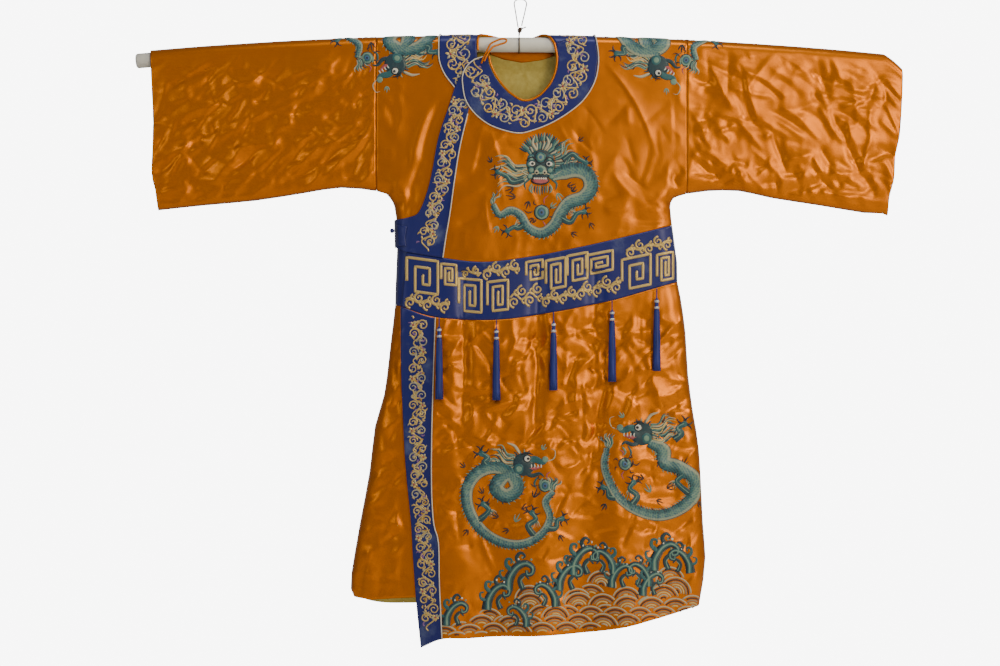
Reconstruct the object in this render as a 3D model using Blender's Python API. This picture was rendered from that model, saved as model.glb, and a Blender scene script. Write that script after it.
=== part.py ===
"""A wrap-over dragon robe of orange satin with blue borders, hanging flat on a pole.

Run with: blender --background --python part.py
Frame: metres, +Z up, +X to the viewer's right, the robe's front facing -Y.
The origin is inside the top of the loop that the pole hangs from.

The robe is drawn in millimetres on its flat cut, (x, drop): drop is the way down the cloth from
the crest line over the pole, plus at the front and minus at the back.  One shared triangulation of
that cut gives every cloth piece its points, so pieces that lie on each other never cross: a piece
is the triangles inside its outline, moved out along the shared normals to its own layer.
"""
import math

import bpy
import numpy as np
from mathutils import Vector
from mathutils.geometry import delaunay_2d_cdt

MM = 0.001

# ---------------------------------------------------------------- driving sizes, in millimetres
POLE_RADIUS = 16.0
POLE_ENDS = (-824.5, 776.0)
POLE_MIDDLE_Z = -96.5          # height of the pole's centre line under the loop
POLE_TILT = -0.0056            # slope of the pole
POLE_SAG = 5.83e-5             # how far it bends down, per millimetre of x squared

CREST_RADIUS = 20.5            # outer face of the cloth over the pole
QUARTER = math.pi / 2 * CREST_RADIUS
CREST_ROWS = np.linspace(-QUARTER, QUARTER, 9)
CUFF_DROOP = 28.0              # how far the cuff past the pole's right end hangs lower
DROOP_START = 781.0

SATIN = 1.5                    # thickness of the lined satin
TRIM = 1.2                     # thickness of the embroidered borders
LINING = 1.0
FACING = 0.8
GAP = 0.36                     # between two pieces, one over the other
SEAM_SETBACK = 0.25             # each piece's share of the gap at a seam

OVERLAP_LIFT = 3.4             # how far the crossing front stands off the piece under it
EDGE_ROUND = 32.0              # width of the rounding at side seams and sleeve bottoms
GRID = 60.0                    # spacing of the triangulation

NECK = (6.5, 59.0)             # centre of the neck ring on the flat cut
CENTRE_BACK = 6.5
SEAMS = {"left": -307.9, "right": 359.0}     # where the sleeves are sewn on

PIPING_RADIUS = 1.3
ROLL_RADIUS = 2.3              # the orange roll round the neck
CORD_RADIUS = 1.3
HITCH_SQUEEZE = 0.4            # how much thinner the cord is pressed between the pole and the cloth
ROBE_MIDDLE, ROBE_HALF_WIDTH = 25.5, 333.0

# ---------------------------------------------------------------- outline tables
# Sides: under the sleeve from the cuff, round the underarm and down the side seam.  x, z
LEFT_SIDE = [
    (-776.8, -452.6), (-678, -442), (-569, -432), (-465, -416), (-384, -404), (-307.9, -411),
    (-284, -418), (-270, -439), (-264.7, -473), (-263.4, -533), (-266.6, -613), (-267.7, -656),
    (-276.5, -731), (-291, -847), (-311, -916), (-322.5, -1013), (-343, -1123), (-361.6, -1232),
    (-363, -1266), (-356, -1282.5),
]
RIGHT_SIDE = [
    (791, -464), (740, -458), (644, -442), (541, -426), (472, -411), (404, -411), (359, -417),
    (332, -425), (323.6, -439), (326.8, -473), (328.5, -485), (334.3, -530), (339, -563.5),
    (339.7, -606), (346.6, -640), (357, -714), (362.7, -806), (374.3, -893), (386, -967),
    (394.5, -1123), (400, -1198), (395.6, -1247), (386, -1301.6),
]
UNDERARM = {"left": 5, "right": 6}           # rows of the two tables where the sleeve seam ends
LEFT_CUFF = [(-792.7, -109), (-790.6, -151), (-786.5, -240), (-786.5, -301), (-789, -374), (-781, -411)]
RIGHT_CUFF = [(822, -149), (820.4, -206), (815, -288), (806, -336), (803, -384), (793, -425)]

# Waistband, sewn in between bodice and skirt.  x, z
BAND_TOP = [(-241.7, -543), (-165, -555), (-76, -564), (26, -552), (119, -534), (213, -513), (328.5, -485)]
BAND_BOTTOM = [(-252.6, -660), (-174, -683), (-48, -687.5), (73, -671), (190, -648), (259, -629), (339.7, -606)]
UNDER_BAND_TOP = [(-263.4, -533), (-130, -556)]
UNDER_BAND_BOTTOM = [(-267.7, -656), (-130, -680)]
BACK_BAND_TOP = [(-263.4, -533), (-100, -543), (100, -532), (328.5, -485)]
BACK_BAND_BOTTOM = [(-267.7, -656), (-100, -667), (100, -655), (339.7, -606)]

# The crossing front's free edge, its hem, and the inner edges of its borders.  x, z
LAPEL_EDGE = [(-122.6, -169), (-136.7, -186), (-150.7, -228), (-174, -298), (-188, -373),
              (-199.7, -419), (-216, -458), (-236, -470), (-264.7, -473)]
LAPEL_INNER = [(-99, -200), (-108.8, -238), (-127.5, -317), (-139, -387), (-148.4, -457), (-157.8, -513), (-164, -555)]
SKIRT_EDGE = [(-252.6, -660), (-253.5, -790), (-247.7, -933), (-242, -1019), (-231.6, -1123),
              (-227.5, -1192), (-219, -1302), (-210, -1388)]
SKIRT_INNER = [(-180, -683), (-182, -740), (-184, -818), (-187, -933), (-187, -1048), (-182, -1123),
               (-172, -1163), (-170, -1250), (-164.5, -1368)]
FRONT_HEM = [(-210, -1388), (-164.5, -1368), (-109, -1367), (-40, -1363), (46, -1361), (132, -1356),
             (219, -1345), (305, -1324), (362, -1307), (386, -1301.6)]
BACK_HEM = [(-356, -1282.5), (-305, -1297), (-219, -1301), (0, -1303), (200, -1303), (386, -1301.6)]
UNDER_HEM = [(-356, -1282.5), (-317, -1287), (-219, -1281), (-115, -1283)]
UNDER_INNER = [(-85, -205), (-100, -400), (-130, -556)]
UNDER_SKIRT_INNER = [(-130, -680), (-120, -980), (-115, -1283)]
LINING_TOP = [(-299, -130), (-150, -112), (-70, -110), (80, -110), (200, -114), (350, -122)]
LINING_INSET = 9.0
FACING_EDGE = [(-66, -108), (0, -107), (70, -108), (76, -118), (45, -128), (5, -133), (-35, -126), (-64, -115)]
SIDE_TIE = [(-259, -484), (-240, -488), (-243, -512), (-241, -531), (-256, -530)]

# Neck ring on the crossing front, and its other half over the back and the far shoulder.
# angle in degrees from +x towards the front hem, inner and outer radius
FRONT_RING = [
    (-21, 76.5, 165), (0, 76.5, 162.5), (17, 78.5, 163), (33, 82, 160), (48, 86.5, 155.5),
    (66, 93.5, 155), (82, 98, 160), (94, 95.5, 165.5), (111, 85, 164), (123, 79, 162),
    (134, 75.5, 158.5), (143, 74, 153.5), (151, 73.2, 145.5), (161, 73.2, 136.5), (168, 74, 125),
    (175, 74.5, 106), (180, 75.5, 79),
]
BACK_RING = [
    (155.5, 96, 160), (167, 96.5, 171), (177, 97, 178.5), (187, 99, 181), (198, 104, 186),
    (212, 109, 186), (230, 96, 184), (250, 88, 181), (270, 84, 178), (290, 80, 174),
    (309, 76, 170), (325, 76, 167), (339, 76.5, 165),
]

# Depth of the hanging tube added to the crest radius, down the robe.  z, depth
BELLY = [(-97, 0.0), (-200, 1.0), (-450, 4.5), (-600, 7.0), (-900, 17.0), (-1400, 30.0)]
SLEEVE_TAPER = 4.5             # how much flatter a sleeve is at its bottom fold
FLARE = {"start": -760.0, "full": -1300.0, "height": 8.0, "front_wave": 196.0, "back_wave": 228.0}

# Pleats let into the skirt under the band.  x at the band, x at the hem, depth at the band
PLEATS = [(-118, -128, 7.0), (40, 22, 8.0), (162, 172, 7.0)]
PLEAT_HALF_WIDTH = 15.0
PLEAT_TOP, PLEAT_END = -640.0, -1150.0

# Tassels under the band.  x, z of the cord's top, z of the tuft's foot
TASSELS = [(-171.5, -682, -857), (-49.7, -686, -859), (72, -671, -838), (197, -646, -820), (292.5, -621, -797)]
TASSEL_HEAD = 44.0             # cord, cap and bands, down to the tuft
TASSEL_CLEARANCE = 0.6

COLOURS = {                    # base colour, roughness, metallic
    "orange_satin": ((0.78, 0.29, 0.03), 0.38, 0.0),
    "blue_satin": ((0.03, 0.05, 0.30), 0.42, 0.0),
    "yellow_lining": ((0.62, 0.52, 0.16), 0.75, 0.0),
    "cream_piping": ((0.74, 0.70, 0.64), 0.6, 0.0),
    "blue_floss": ((0.012, 0.02, 0.14), 0.55, 0.0),
    "silver_band": ((0.62, 0.62, 0.66), 0.35, 0.6),
    "white_pole": ((0.78, 0.76, 0.70), 0.5, 0.0),
    "brown_cord": ((0.06, 0.03, 0.02), 0.7, 0.0),
}


# ---------------------------------------------------------------- small helpers
def columns(rows):
    return np.array(rows, float)


def pole_z(x):
    """Height of the pole's centre line: a straight slope less a parabola."""
    return POLE_MIDDLE_Z + POLE_TILT * x - POLE_SAG * x * x


def crest_z(x):
    """Height of the centre that the cloth folds round; past the pole's right end it droops."""
    past = np.clip(np.asarray(x, float) - DROOP_START, 0, None)
    return pole_z(np.asarray(x, float)) - CUFF_DROOP * (past / (RIGHT_CUFF[0][0] - DROOP_START)) ** 1.3


def to_cut(points, side=1):
    """(x, z) on the hanging robe to (x, drop) on the flat cut; side is 1 at the front, -1 at the back."""
    p = columns(points)
    return np.stack([p[:, 0], side * (QUARTER + crest_z(p[:, 0]) - p[:, 1])], axis=1)


def smooth(rows, step):
    """A centripetal-looking curve through the rows: Catmull-Rom, with points about step apart."""
    p = columns(rows)
    padded = np.vstack([2 * p[0] - p[1], p, 2 * p[-1] - p[-2]])
    made = []
    for a, b, c, d in zip(padded, padded[1:], padded[2:], padded[3:]):
        count = max(1, round(np.linalg.norm(c - b) / step))
        t = (np.arange(count) / count)[:, None]
        made.append(0.5 * (2 * b + (c - a) * t + (2 * a - 5 * b + 4 * c - d) * t**2
                           + (3 * b - a - 3 * c + d) * t**3))
    return np.vstack([*made, p[-1:]])


def straight(rows, step):
    """Points about step apart on straight runs between the rows."""
    p = columns(rows)
    made = [a + (b - a) * (np.arange(n) / n)[:, None]
            for a, b in zip(p, p[1:]) for n in [max(1, round(np.linalg.norm(b - a) / step))]]
    return np.vstack([*made, p[-1:]])


def ring_edge(table, column):
    """One edge of the neck ring as points on the flat cut."""
    t = columns(table)
    angle = np.radians(t[:, 0])
    return np.stack([NECK[0] + t[:, column] * np.cos(angle), NECK[1] + t[:, column] * np.sin(angle)], axis=1)


def inside(points, polygon):
    """Even-odd test of many points against one closed polygon."""
    x, y = points[:, 0, None], points[:, 1, None]
    a, b = polygon, np.roll(polygon, -1, axis=0)
    crosses = (a[:, 1] > y) != (b[:, 1] > y)
    rise = np.where(b[:, 1] == a[:, 1], 1e-9, b[:, 1] - a[:, 1])
    return (crosses & (x < a[:, 0] + (y - a[:, 1]) * (b[:, 0] - a[:, 0]) / rise)).sum(axis=1) % 2 == 1


def nearest(points, line):
    """(distance, vector from the line to the point, run of the line there) for many points and one line."""
    a, run = line[:-1], np.diff(line, axis=0)
    reach = np.clip(((points[:, None] - a) * run).sum(2) / (run**2).sum(1), 0, 1)
    foot = a + reach[..., None] * run
    away = np.linalg.norm(points[:, None] - foot, axis=2)
    best = away.argmin(axis=1)
    row = np.arange(len(points))
    return away[row, best], points - foot[row, best], run[best]


# ---------------------------------------------------------------- the shape of the hanging cloth
SIDES = {"left": smooth(LEFT_SIDE, 45), "right": smooth(RIGHT_SIDE, 45)}
INWARD = {"left": 1.0, "right": -1.0}


def edge_share(points):
    """How far in from the side seams a point is, 0 to 1 over EDGE_ROUND, and which way is inwards."""
    share = np.ones(len(points))
    inward = np.zeros((len(points), 2))
    for name, line in SIDES.items():
        away, direction, run = nearest(points, line)
        across = np.stack([-run[:, 1], run[:, 0]], axis=1) * INWARD[name]
        across /= np.linalg.norm(across, axis=1)[:, None]
        direction = np.where(away[:, None] > 0.05, direction / np.maximum(away, 1e-9)[:, None], across)
        closer = away / EDGE_ROUND < share
        share[closer] = away[closer] / EDGE_ROUND
        inward[closer] = direction[closer]
    return share, inward


def full_depth(points, back):
    """Half the depth of the robe away from its edges: crest radius, belly, flare waves and pleats."""
    x, z = points[:, 0], points[:, 1]
    across = 1 - ((x - ROBE_MIDDLE) / np.where(z > -420, ROBE_HALF_WIDTH, ROBE_HALF_WIDTH + 30)) ** 2
    middle = np.clip(across, 0, None)
    belly_z, belly_depth = columns(BELLY)[::-1].T
    depth = CREST_RADIUS + np.interp(z, belly_z, belly_depth) * middle
    sleeve = np.clip((np.abs(x - ROBE_MIDDLE) - 300) / 130, 0, 1)
    hang = np.clip((crest_z(x) - z) / 330, 0, 1)
    depth = depth - SLEEVE_TAPER * sleeve * hang * (z > -500)
    grown = np.clip((FLARE["start"] - z) / (FLARE["start"] - FLARE["full"]), 0, 1)
    wave = np.where(back, FLARE["back_wave"], FLARE["front_wave"])
    depth += FLARE["height"] * grown * np.sin(2 * math.pi * x / wave + np.where(back, 1.0, 0.3)) * middle**0.5
    faded = np.clip((PLEAT_END - z) / (PLEAT_END - PLEAT_TOP), 0, 1) * (z < PLEAT_TOP + 60)
    run = np.clip((PLEAT_TOP - z) / (PLEAT_TOP + 1370), 0, 1)
    for x_band, x_hem, pleat_depth in PLEATS:
        off_line = (x - (x_band + (x_hem - x_band) * run)) / PLEAT_HALF_WIDTH
        depth -= np.where(back, 0, pleat_depth * faded * np.exp(-off_line**2))
    return depth


def shell(cut):
    """Points of the cut to (points, outward normals) on the robe's base surface, in millimetres."""
    x, drop = cut[:, 0], cut[:, 1]
    way = np.where(drop >= 0, -1.0, 1.0)
    reach = np.abs(drop)
    turned = np.clip(reach / CREST_RADIUS, 0, math.pi / 2)
    over = reach < QUARTER
    z = crest_z(x) + np.where(over, CREST_RADIUS * np.cos(turned), QUARTER - reach)
    flat = np.stack([x, z], axis=1)
    share, inward = edge_share(flat)
    back = drop < 0
    depth = full_depth(flat, back)
    rounding = np.sqrt(np.clip(1 - (1 - share) ** 2, 0, 1))
    nudge = 1.0
    slope = np.stack([full_depth(flat + (nudge, 0), back) - full_depth(flat - (nudge, 0), back),
                      full_depth(flat + (0, nudge), back) - full_depth(flat - (0, nudge), back)], axis=1)
    slope /= 2 * nudge
    steep = (2 * depth * rounding**2)[:, None] * slope
    steep += (depth**2 * 2 * (1 - share) / EDGE_ROUND)[:, None] * inward
    y = way * np.where(over, CREST_RADIUS * np.sin(turned), depth * rounding)
    normal = np.stack([-steep[:, 0], 2 * way * depth * rounding, -steep[:, 1]], axis=1)
    radial = np.stack([np.zeros_like(x), way * np.sin(turned), np.cos(turned)], axis=1)
    normal = np.where(over[:, None], radial, normal)
    normal /= np.linalg.norm(normal, axis=1)[:, None]
    return np.stack([x, y, z], axis=1), normal


def overlap_lift(cut):
    """The crossing front stands off the under front on the left, and comes down to it on the right."""
    eased = np.clip((50 - cut[:, 0]) / 92, 0, 1)
    return OVERLAP_LIFT * eased * eased * (3 - 2 * eased) * (cut[:, 1] > 0)


# ---------------------------------------------------------------- outlines on the flat cut
STEP = GRID * 0.9


def over_crest(line):
    """The same line with a point wherever it crosses one of the rows that bend over the pole."""
    made = [line[:1]]
    for a, b in zip(line, line[1:]):
        low, high = sorted((a[1], b[1]))
        rows = CREST_ROWS[(CREST_ROWS > low + 1.5) & (CREST_ROWS < high - 1.5)]
        rows = rows if b[1] > a[1] else rows[::-1]
        share = (rows - a[1]) / (b[1] - a[1]) if len(rows) else rows
        made += [a + (b - a) * share[:, None], b[None]]
    return np.vstack(made)


def polygon(*runs):
    """A closed outline from runs of points that follow each other, repeated points dropped."""
    p = np.vstack(runs)
    p = p[np.linalg.norm(p - np.roll(p, 1, axis=0), axis=1) > 0.05]
    return over_crest(np.vstack([p, p[:1]]))[:-1]


def side_run(name, way, z_from=None, z_to=None):
    """The side seam as cut points, from the underarm or a height, down to a height or the hem."""
    line = SIDES[name]
    underarm = {"left": LEFT_SIDE, "right": RIGHT_SIDE}[name][UNDERARM[name]]
    first = np.linalg.norm(line - underarm, axis=1).argmin()
    below = line[first:, 1]
    start = 0 if z_from is None else np.abs(below - z_from).argmin()
    stop = len(below) if z_to is None else np.abs(below - z_to).argmin() + 1
    return to_cut(line[first + start:first + stop], way)


def sleeve_outline(name):
    """Cuff, underside and armhole seam at the front, then the same again at the back."""
    cuff_table = {"left": LEFT_CUFF, "right": RIGHT_CUFF}[name]
    underarm = {"left": LEFT_SIDE, "right": RIGHT_SIDE}[name][UNDERARM[name]]
    line = SIDES[name]
    last = np.linalg.norm(line - underarm, axis=1).argmin()
    half = {}
    for way in (1, -1):
        lower = to_cut([*cuff_table[1:], line[0]], way)
        cuff = smooth(np.vstack([[(cuff_table[0][0], 0)], lower]), STEP)
        under = to_cut(line[:last + 1], way)
        half[way] = np.vstack([cuff, under[1:], armhole(name, way)[::-1]])
    return polygon(half[1], half[-1][::-1])


def armhole(name, way):
    """The sleeve seam from the shoulder fold to the underarm."""
    underarm = {"left": LEFT_SIDE, "right": RIGHT_SIDE}[name][UNDERARM[name]]
    return straight([(SEAMS[name], 0), to_cut([underarm], way)[0]], STEP)


def build_outlines():
    """Every piece's outline on the flat cut."""
    ring_in, ring_out = ring_edge(FRONT_RING, 1), ring_edge(FRONT_RING, 2)
    far_in, far_out = ring_edge(BACK_RING, 1), ring_edge(BACK_RING, 2)
    angle = columns(BACK_RING)[:, 0]
    neck_left, neck_right = far_in[angle <= 270], far_in[angle >= 270]
    under_lapel = ring_out[columns(FRONT_RING)[:, 0] >= 161][::-1]
    band_top, band_bottom = smooth(to_cut(BAND_TOP), STEP), smooth(to_cut(BAND_BOTTOM), STEP)
    under_top, under_bottom = straight(to_cut(UNDER_BAND_TOP), STEP), straight(to_cut(UNDER_BAND_BOTTOM), STEP)
    back_top, back_bottom = smooth(to_cut(BACK_BAND_TOP, -1), STEP), smooth(to_cut(BACK_BAND_BOTTOM, -1), STEP)
    lapel, lapel_inner = smooth(to_cut(LAPEL_EDGE), STEP), smooth(to_cut(LAPEL_INNER), STEP)
    skirt_edge, skirt_inner = smooth(to_cut(SKIRT_EDGE), STEP), smooth(to_cut(SKIRT_INNER), STEP)
    front_hem, back_hem = smooth(to_cut(FRONT_HEM), STEP), smooth(to_cut(BACK_HEM, -1), STEP)
    under_inner = smooth(to_cut(UNDER_INNER), STEP)
    under_skirt_inner = smooth(to_cut(UNDER_SKIRT_INNER), STEP)
    under_hem = straight(to_cut(UNDER_HEM), STEP)
    foot = np.interp(CENTRE_BACK, *back_top.T)
    centre = straight([neck_right[0], (CENTRE_BACK, foot)], STEP)
    return {
        "sleeve_left": sleeve_outline("left"),
        "sleeve_right": sleeve_outline("right"),
        "body_left": polygon(armhole("left", 1), side_run("left", 1, None, -533), under_top, under_inner[::-1],
                             neck_left, centre, back_top[back_top[:, 0] < CENTRE_BACK][::-1],
                             side_run("left", -1, None, -533)[::-1], armhole("left", -1)[::-1]),
        "body_right": polygon(neck_right, ring_in, under_lapel, lapel, side_run("left", 1, -473, -533), band_top,
                              side_run("right", 1, None, -485)[::-1], armhole("right", 1)[::-1],
                              armhole("right", -1), side_run("right", -1, None, -485),
                              back_top[back_top[:, 0] > CENTRE_BACK][::-1], centre[::-1]),
        "skirt_front": polygon(band_bottom, side_run("right", 1, -606), front_hem[::-1], skirt_edge[::-1]),
        "skirt_under": polygon(side_run("left", 1, -656), under_hem, under_skirt_inner[::-1], under_bottom[::-1]),
        "skirt_back": polygon(back_bottom, side_run("right", -1, -606), back_hem[::-1],
                              side_run("left", -1, -656)[::-1]),
        "waistband_front": polygon(band_top, side_run("right", 1, -485, -606), band_bottom[::-1]),
        "waistband_under": polygon(under_top, under_bottom[::-1], side_run("left", 1, -533, -656)[::-1]),
        "waistband_back": polygon(back_top, side_run("right", -1, -485, -606), back_bottom[::-1],
                                  side_run("left", -1, -533, -656)[::-1]),
        "collar_front": polygon(ring_in, ring_out[::-1]),
        "collar_back": polygon(far_in, far_out[::-1]),
        "lapel_border": polygon(lapel, side_run("left", 1, -473, -533), band_top[band_top[:, 0] < -165.5],
                                lapel_inner[::-1]),
        "skirt_border": polygon(skirt_edge, front_hem[front_hem[:, 0] < -166], skirt_inner[::-1],
                                band_bottom[band_bottom[:, 0] < -181][::-1]),
        "back_lining": lining_outline(),
        "neck_facing": to_cut(FACING_EDGE, -1),
        "side_tie": to_cut(SIDE_TIE),
    }


def lining_outline():
    """The back lining: from just under the pole down to the hem, a little inside the side seams."""
    right = side_run("right", -1)[::2] + (-LINING_INSET, 0)
    left = side_run("left", -1)[::2] + (LINING_INSET, 0)
    hem = smooth(to_cut(BACK_HEM[1:-1], -1) + (0, 4), STEP)
    return polygon(smooth(to_cut(LINING_TOP, -1), STEP), right, hem[::-1], left[::-1])


# ---------------------------------------------------------------- the shared triangulation
def pleat_lines():
    """The middle and both edges of each pleat, kept as edges so that its trough is crisp."""
    made = []
    for x_band, x_hem, _ in PLEATS:
        line = to_cut([(x_band, -640), (x_band * 0.25 + x_hem * 0.75, -1150)])
        made += [straight(line + (aside, 0), GRID * 1.2) for aside in (-PLEAT_HALF_WIDTH, 0, PLEAT_HALF_WIDTH)]
    return made


def crest_lines():
    """The rows along which the cloth bends over the pole."""
    x = np.concatenate([np.linspace(-786, DROOP_START - 1, 25), [801, 819]])
    return [np.stack([x, np.full(len(x), drop)], axis=1) for drop in CREST_ROWS]


def rim_lines():
    """Points just inside the side seams, which give the rounding there its points."""
    made = []
    for name, line in SIDES.items():
        run = np.gradient(line, axis=0)
        inward = np.stack([-run[:, 1], run[:, 0]], axis=1) * INWARD[name]
        inward /= np.linalg.norm(inward, axis=1)[:, None]
        made += [to_cut(line + depth * inward, way) for depth in (4.0, 15.0) for way in (1, -1)]
    return np.vstack(made)


def triangulate(outline, kept_lines):
    """Constrained Delaunay triangles over the whole cut, keeping every outline and line as edges.

    Gives the cut points, the triangles, the points on the hanging robe, and the outward normals, made
    a little longer where the cloth bends sharply so that a layer keeps its thickness there.
    """
    points, edges = [], []

    def keep(line, closed):
        first = len(points)
        points.extend(map(tuple, line))
        count = len(line)
        edges.extend((first + i, first + (i + 1) % count) for i in range(count if closed else count - 1))

    for shape in outline.values():
        keep(shape, closed=True)
    for line in kept_lines:
        keep(line, closed=False)
    spread = [(x + (GRID / 2 if row % 2 else 0), way * (QUARTER + GRID * 0.85 * (row + 1)))
              for row in range(28) for x in np.arange(-800, 830, GRID) for way in (1, -1)]
    lines = [np.vstack([shape, shape[:1]]) for shape in outline.values()] + kept_lines
    for group, clearance in ((rim_lines(), 3.5), (spread, GRID * 0.42)):
        loose = columns(group)
        taken = columns(points)
        far = np.ones(len(loose), bool)
        for line in lines:
            far &= nearest(loose, line)[0] > clearance
        near_point = np.array([np.linalg.norm(taken - p, axis=1).min() for p in loose])
        points.extend(map(tuple, loose[far & (near_point > clearance)]))
    made = delaunay_2d_cdt([Vector(p) for p in points], edges, [], 0, 0.02)
    cut = columns([tuple(v) for v in made[0]])
    faces = np.array([f for f in made[2] if len(f) == 3])
    a, b, c = cut[faces[:, 0]], cut[faces[:, 1]], cut[faces[:, 2]]
    turn = (b - a)[:, 0] * (c - a)[:, 1] - (b - a)[:, 1] * (c - a)[:, 0]
    faces = np.where((turn < 0)[:, None], faces, faces[:, ::-1])
    faces = faces[np.abs(turn) > 0.02]
    base, normals = shell(cut)
    corners = base[faces]
    flat = np.cross(corners[:, 1] - corners[:, 0], corners[:, 2] - corners[:, 0])
    flat /= np.maximum(np.linalg.norm(flat, axis=1), 1e-9)[:, None]
    slant = np.ones(len(cut))
    for corner in faces.T:
        np.minimum.at(slant, corner, (flat * normals[corner]).sum(axis=1))
    return cut, faces, base, normals / np.clip(slant, 0.75, 1)[:, None]


# ---------------------------------------------------------------- making solids
def material(name):
    made = bpy.data.materials.get(name)
    if made is None:
        made = bpy.data.materials.new(name)
        made.use_nodes = True
        colour, roughness, metallic = COLOURS[name]
        shader = made.node_tree.nodes["Principled BSDF"]
        shader.inputs["Base Color"].default_value = (*colour, 1)
        shader.inputs["Roughness"].default_value = roughness
        shader.inputs["Metallic"].default_value = metallic
        made.diffuse_color = (*colour, 1)
    return made


def make_object(name, points, faces, material_name):
    mesh = bpy.data.meshes.new(name)
    mesh.from_pydata((np.asarray(points) * MM).tolist(), [], [list(map(int, f)) for f in faces])
    mesh.materials.append(material(material_name))
    mesh.shade_smooth()
    made = bpy.data.objects.new(name, mesh)
    bpy.context.scene.collection.objects.link(made)
    return made


def cloth(name, sheet, outline, outer, thickness, material_name, leave_out=(), lifted=False):
    """A wall of cloth: the sheet's triangles inside the outline, outer face moved out by outer."""
    cut, faces, base, normals = sheet
    middle = cut[faces].mean(axis=1)
    chosen = inside(middle, outline)
    for other in leave_out:
        chosen &= ~inside(middle, other)
    used, faces = np.unique(faces[chosen], return_inverse=True)
    faces = faces.reshape(-1, 3)
    lift = outer + (overlap_lift(cut[used]) if lifted else 0)
    out_normals = normals[used]
    top = base[used] + np.multiply(out_normals.T, lift).T
    ends = np.concatenate([faces[:, [0, 1]], faces[:, [1, 2]], faces[:, [2, 0]]])
    known = {tuple(e) for e in ends}
    rim = np.array([(a, b) for a, b in ends if (b, a) not in known])
    along = base[used][rim[:, 1]] - base[used][rim[:, 0]]
    setback = np.zeros_like(top)
    for end in rim.T:
        across = np.cross(out_normals[end], along)
        np.add.at(setback, end, across / np.linalg.norm(across, axis=1)[:, None])
    top += SEAM_SETBACK * setback / np.maximum(np.linalg.norm(setback, axis=1), 1.3)[:, None]
    low = top - thickness * out_normals
    count = len(used)
    shape = [*faces, *(faces[:, ::-1] + count)]
    for a, b in rim:
        # the wall is split the same way on both sides of a seam
        shape += [(b, a, a + count), (b, a + count, b + count)] if a < b else [(b, a, b + count), (a, a + count, b + count)]
    make_object(name, np.vstack([top, low]), shape, material_name)


def round_piece(name, path, radii, sides, material_name, closed=False):
    """A tube of changing radius along a path; its rings keep one direction carried along the path."""
    p = columns(path)
    run = np.gradient(p, axis=0) if not closed else np.roll(p, -1, axis=0) - np.roll(p, 1, axis=0)
    run /= np.linalg.norm(run, axis=1)[:, None]
    start = np.cross(run[0], (0, 1, 0) if abs(run[0][1]) < 0.9 else (1, 0, 0))
    across = [start / np.linalg.norm(start)]
    for r in run[1:]:
        carried = across[-1] - (across[-1] @ r) * r
        across.append(carried / np.linalg.norm(carried))
    across = np.array(across)
    third = np.cross(run, across)
    angle = np.arange(sides) * 2 * math.pi / sides
    radius = np.broadcast_to(np.asarray(radii, float), (len(p),))
    rings = (p[:, None] + radius[:, None, None] * (across[:, None] * np.cos(angle)[:, None]
                                                   + third[:, None] * np.sin(angle)[:, None]))
    count = len(p)
    faces = [(i * sides + j, i * sides + (j + 1) % sides, (i + 1) % count * sides + (j + 1) % sides,
              (i + 1) % count * sides + j) for i in range(count if closed else count - 1) for j in range(sides)]
    if not closed:
        faces.append(list(range(sides))[::-1])
        faces.append([(count - 1) * sides + j for j in range(sides)])
    return make_object(name, rings.reshape(-1, 3), faces, material_name)


def laid_roll(name, sheet, runs, height, radius, sides, material_name, aside=0.0):
    """A round roll laid along lines of the sheet's points.

    Each run is a line and whether it rides on the crossing front.  The roll's middle is height over
    the base surface, and aside to the right of the line as it is followed.
    """
    cut, _, base, normals = sheet
    path = []
    for line, lifted in runs:
        rows = list(dict.fromkeys(int(np.linalg.norm(cut - p, axis=1).argmin()) for p in over_crest(line)))
        lift = height + (overlap_lift(cut[rows]) if lifted else 0)
        raised = base[rows] + np.multiply(normals[rows].T, lift).T
        path.append(np.hstack([raised, normals[rows]])[1 if path else 0:])
    path = np.vstack(path)
    across = np.cross(np.gradient(path[:, :3], axis=0), path[:, 3:])
    across /= np.linalg.norm(across, axis=1)[:, None]
    round_piece(name, path[:, :3] + aside * across, radius, sides, material_name)


# ---------------------------------------------------------------- the pieces
def clear_scene():
    for old in list(bpy.data.objects):
        bpy.data.objects.remove(old, do_unlink=True)


def make_pole():
    x = np.linspace(*POLE_ENDS, 13)
    bevel = 5.0
    x = np.concatenate([[x[0], x[0] + 1.2, x[0] + bevel], x[1:-1], [x[-1] - bevel, x[-1] - 1.2, x[-1]]])
    path = np.stack([x, np.zeros_like(x), pole_z(x)], axis=1)
    radii = np.full(len(x), POLE_RADIUS)
    radii[[0, -1]] -= bevel
    radii[[1, -2]] -= 2.2
    round_piece("pole", path, radii, 20, "white_pole")


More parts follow.
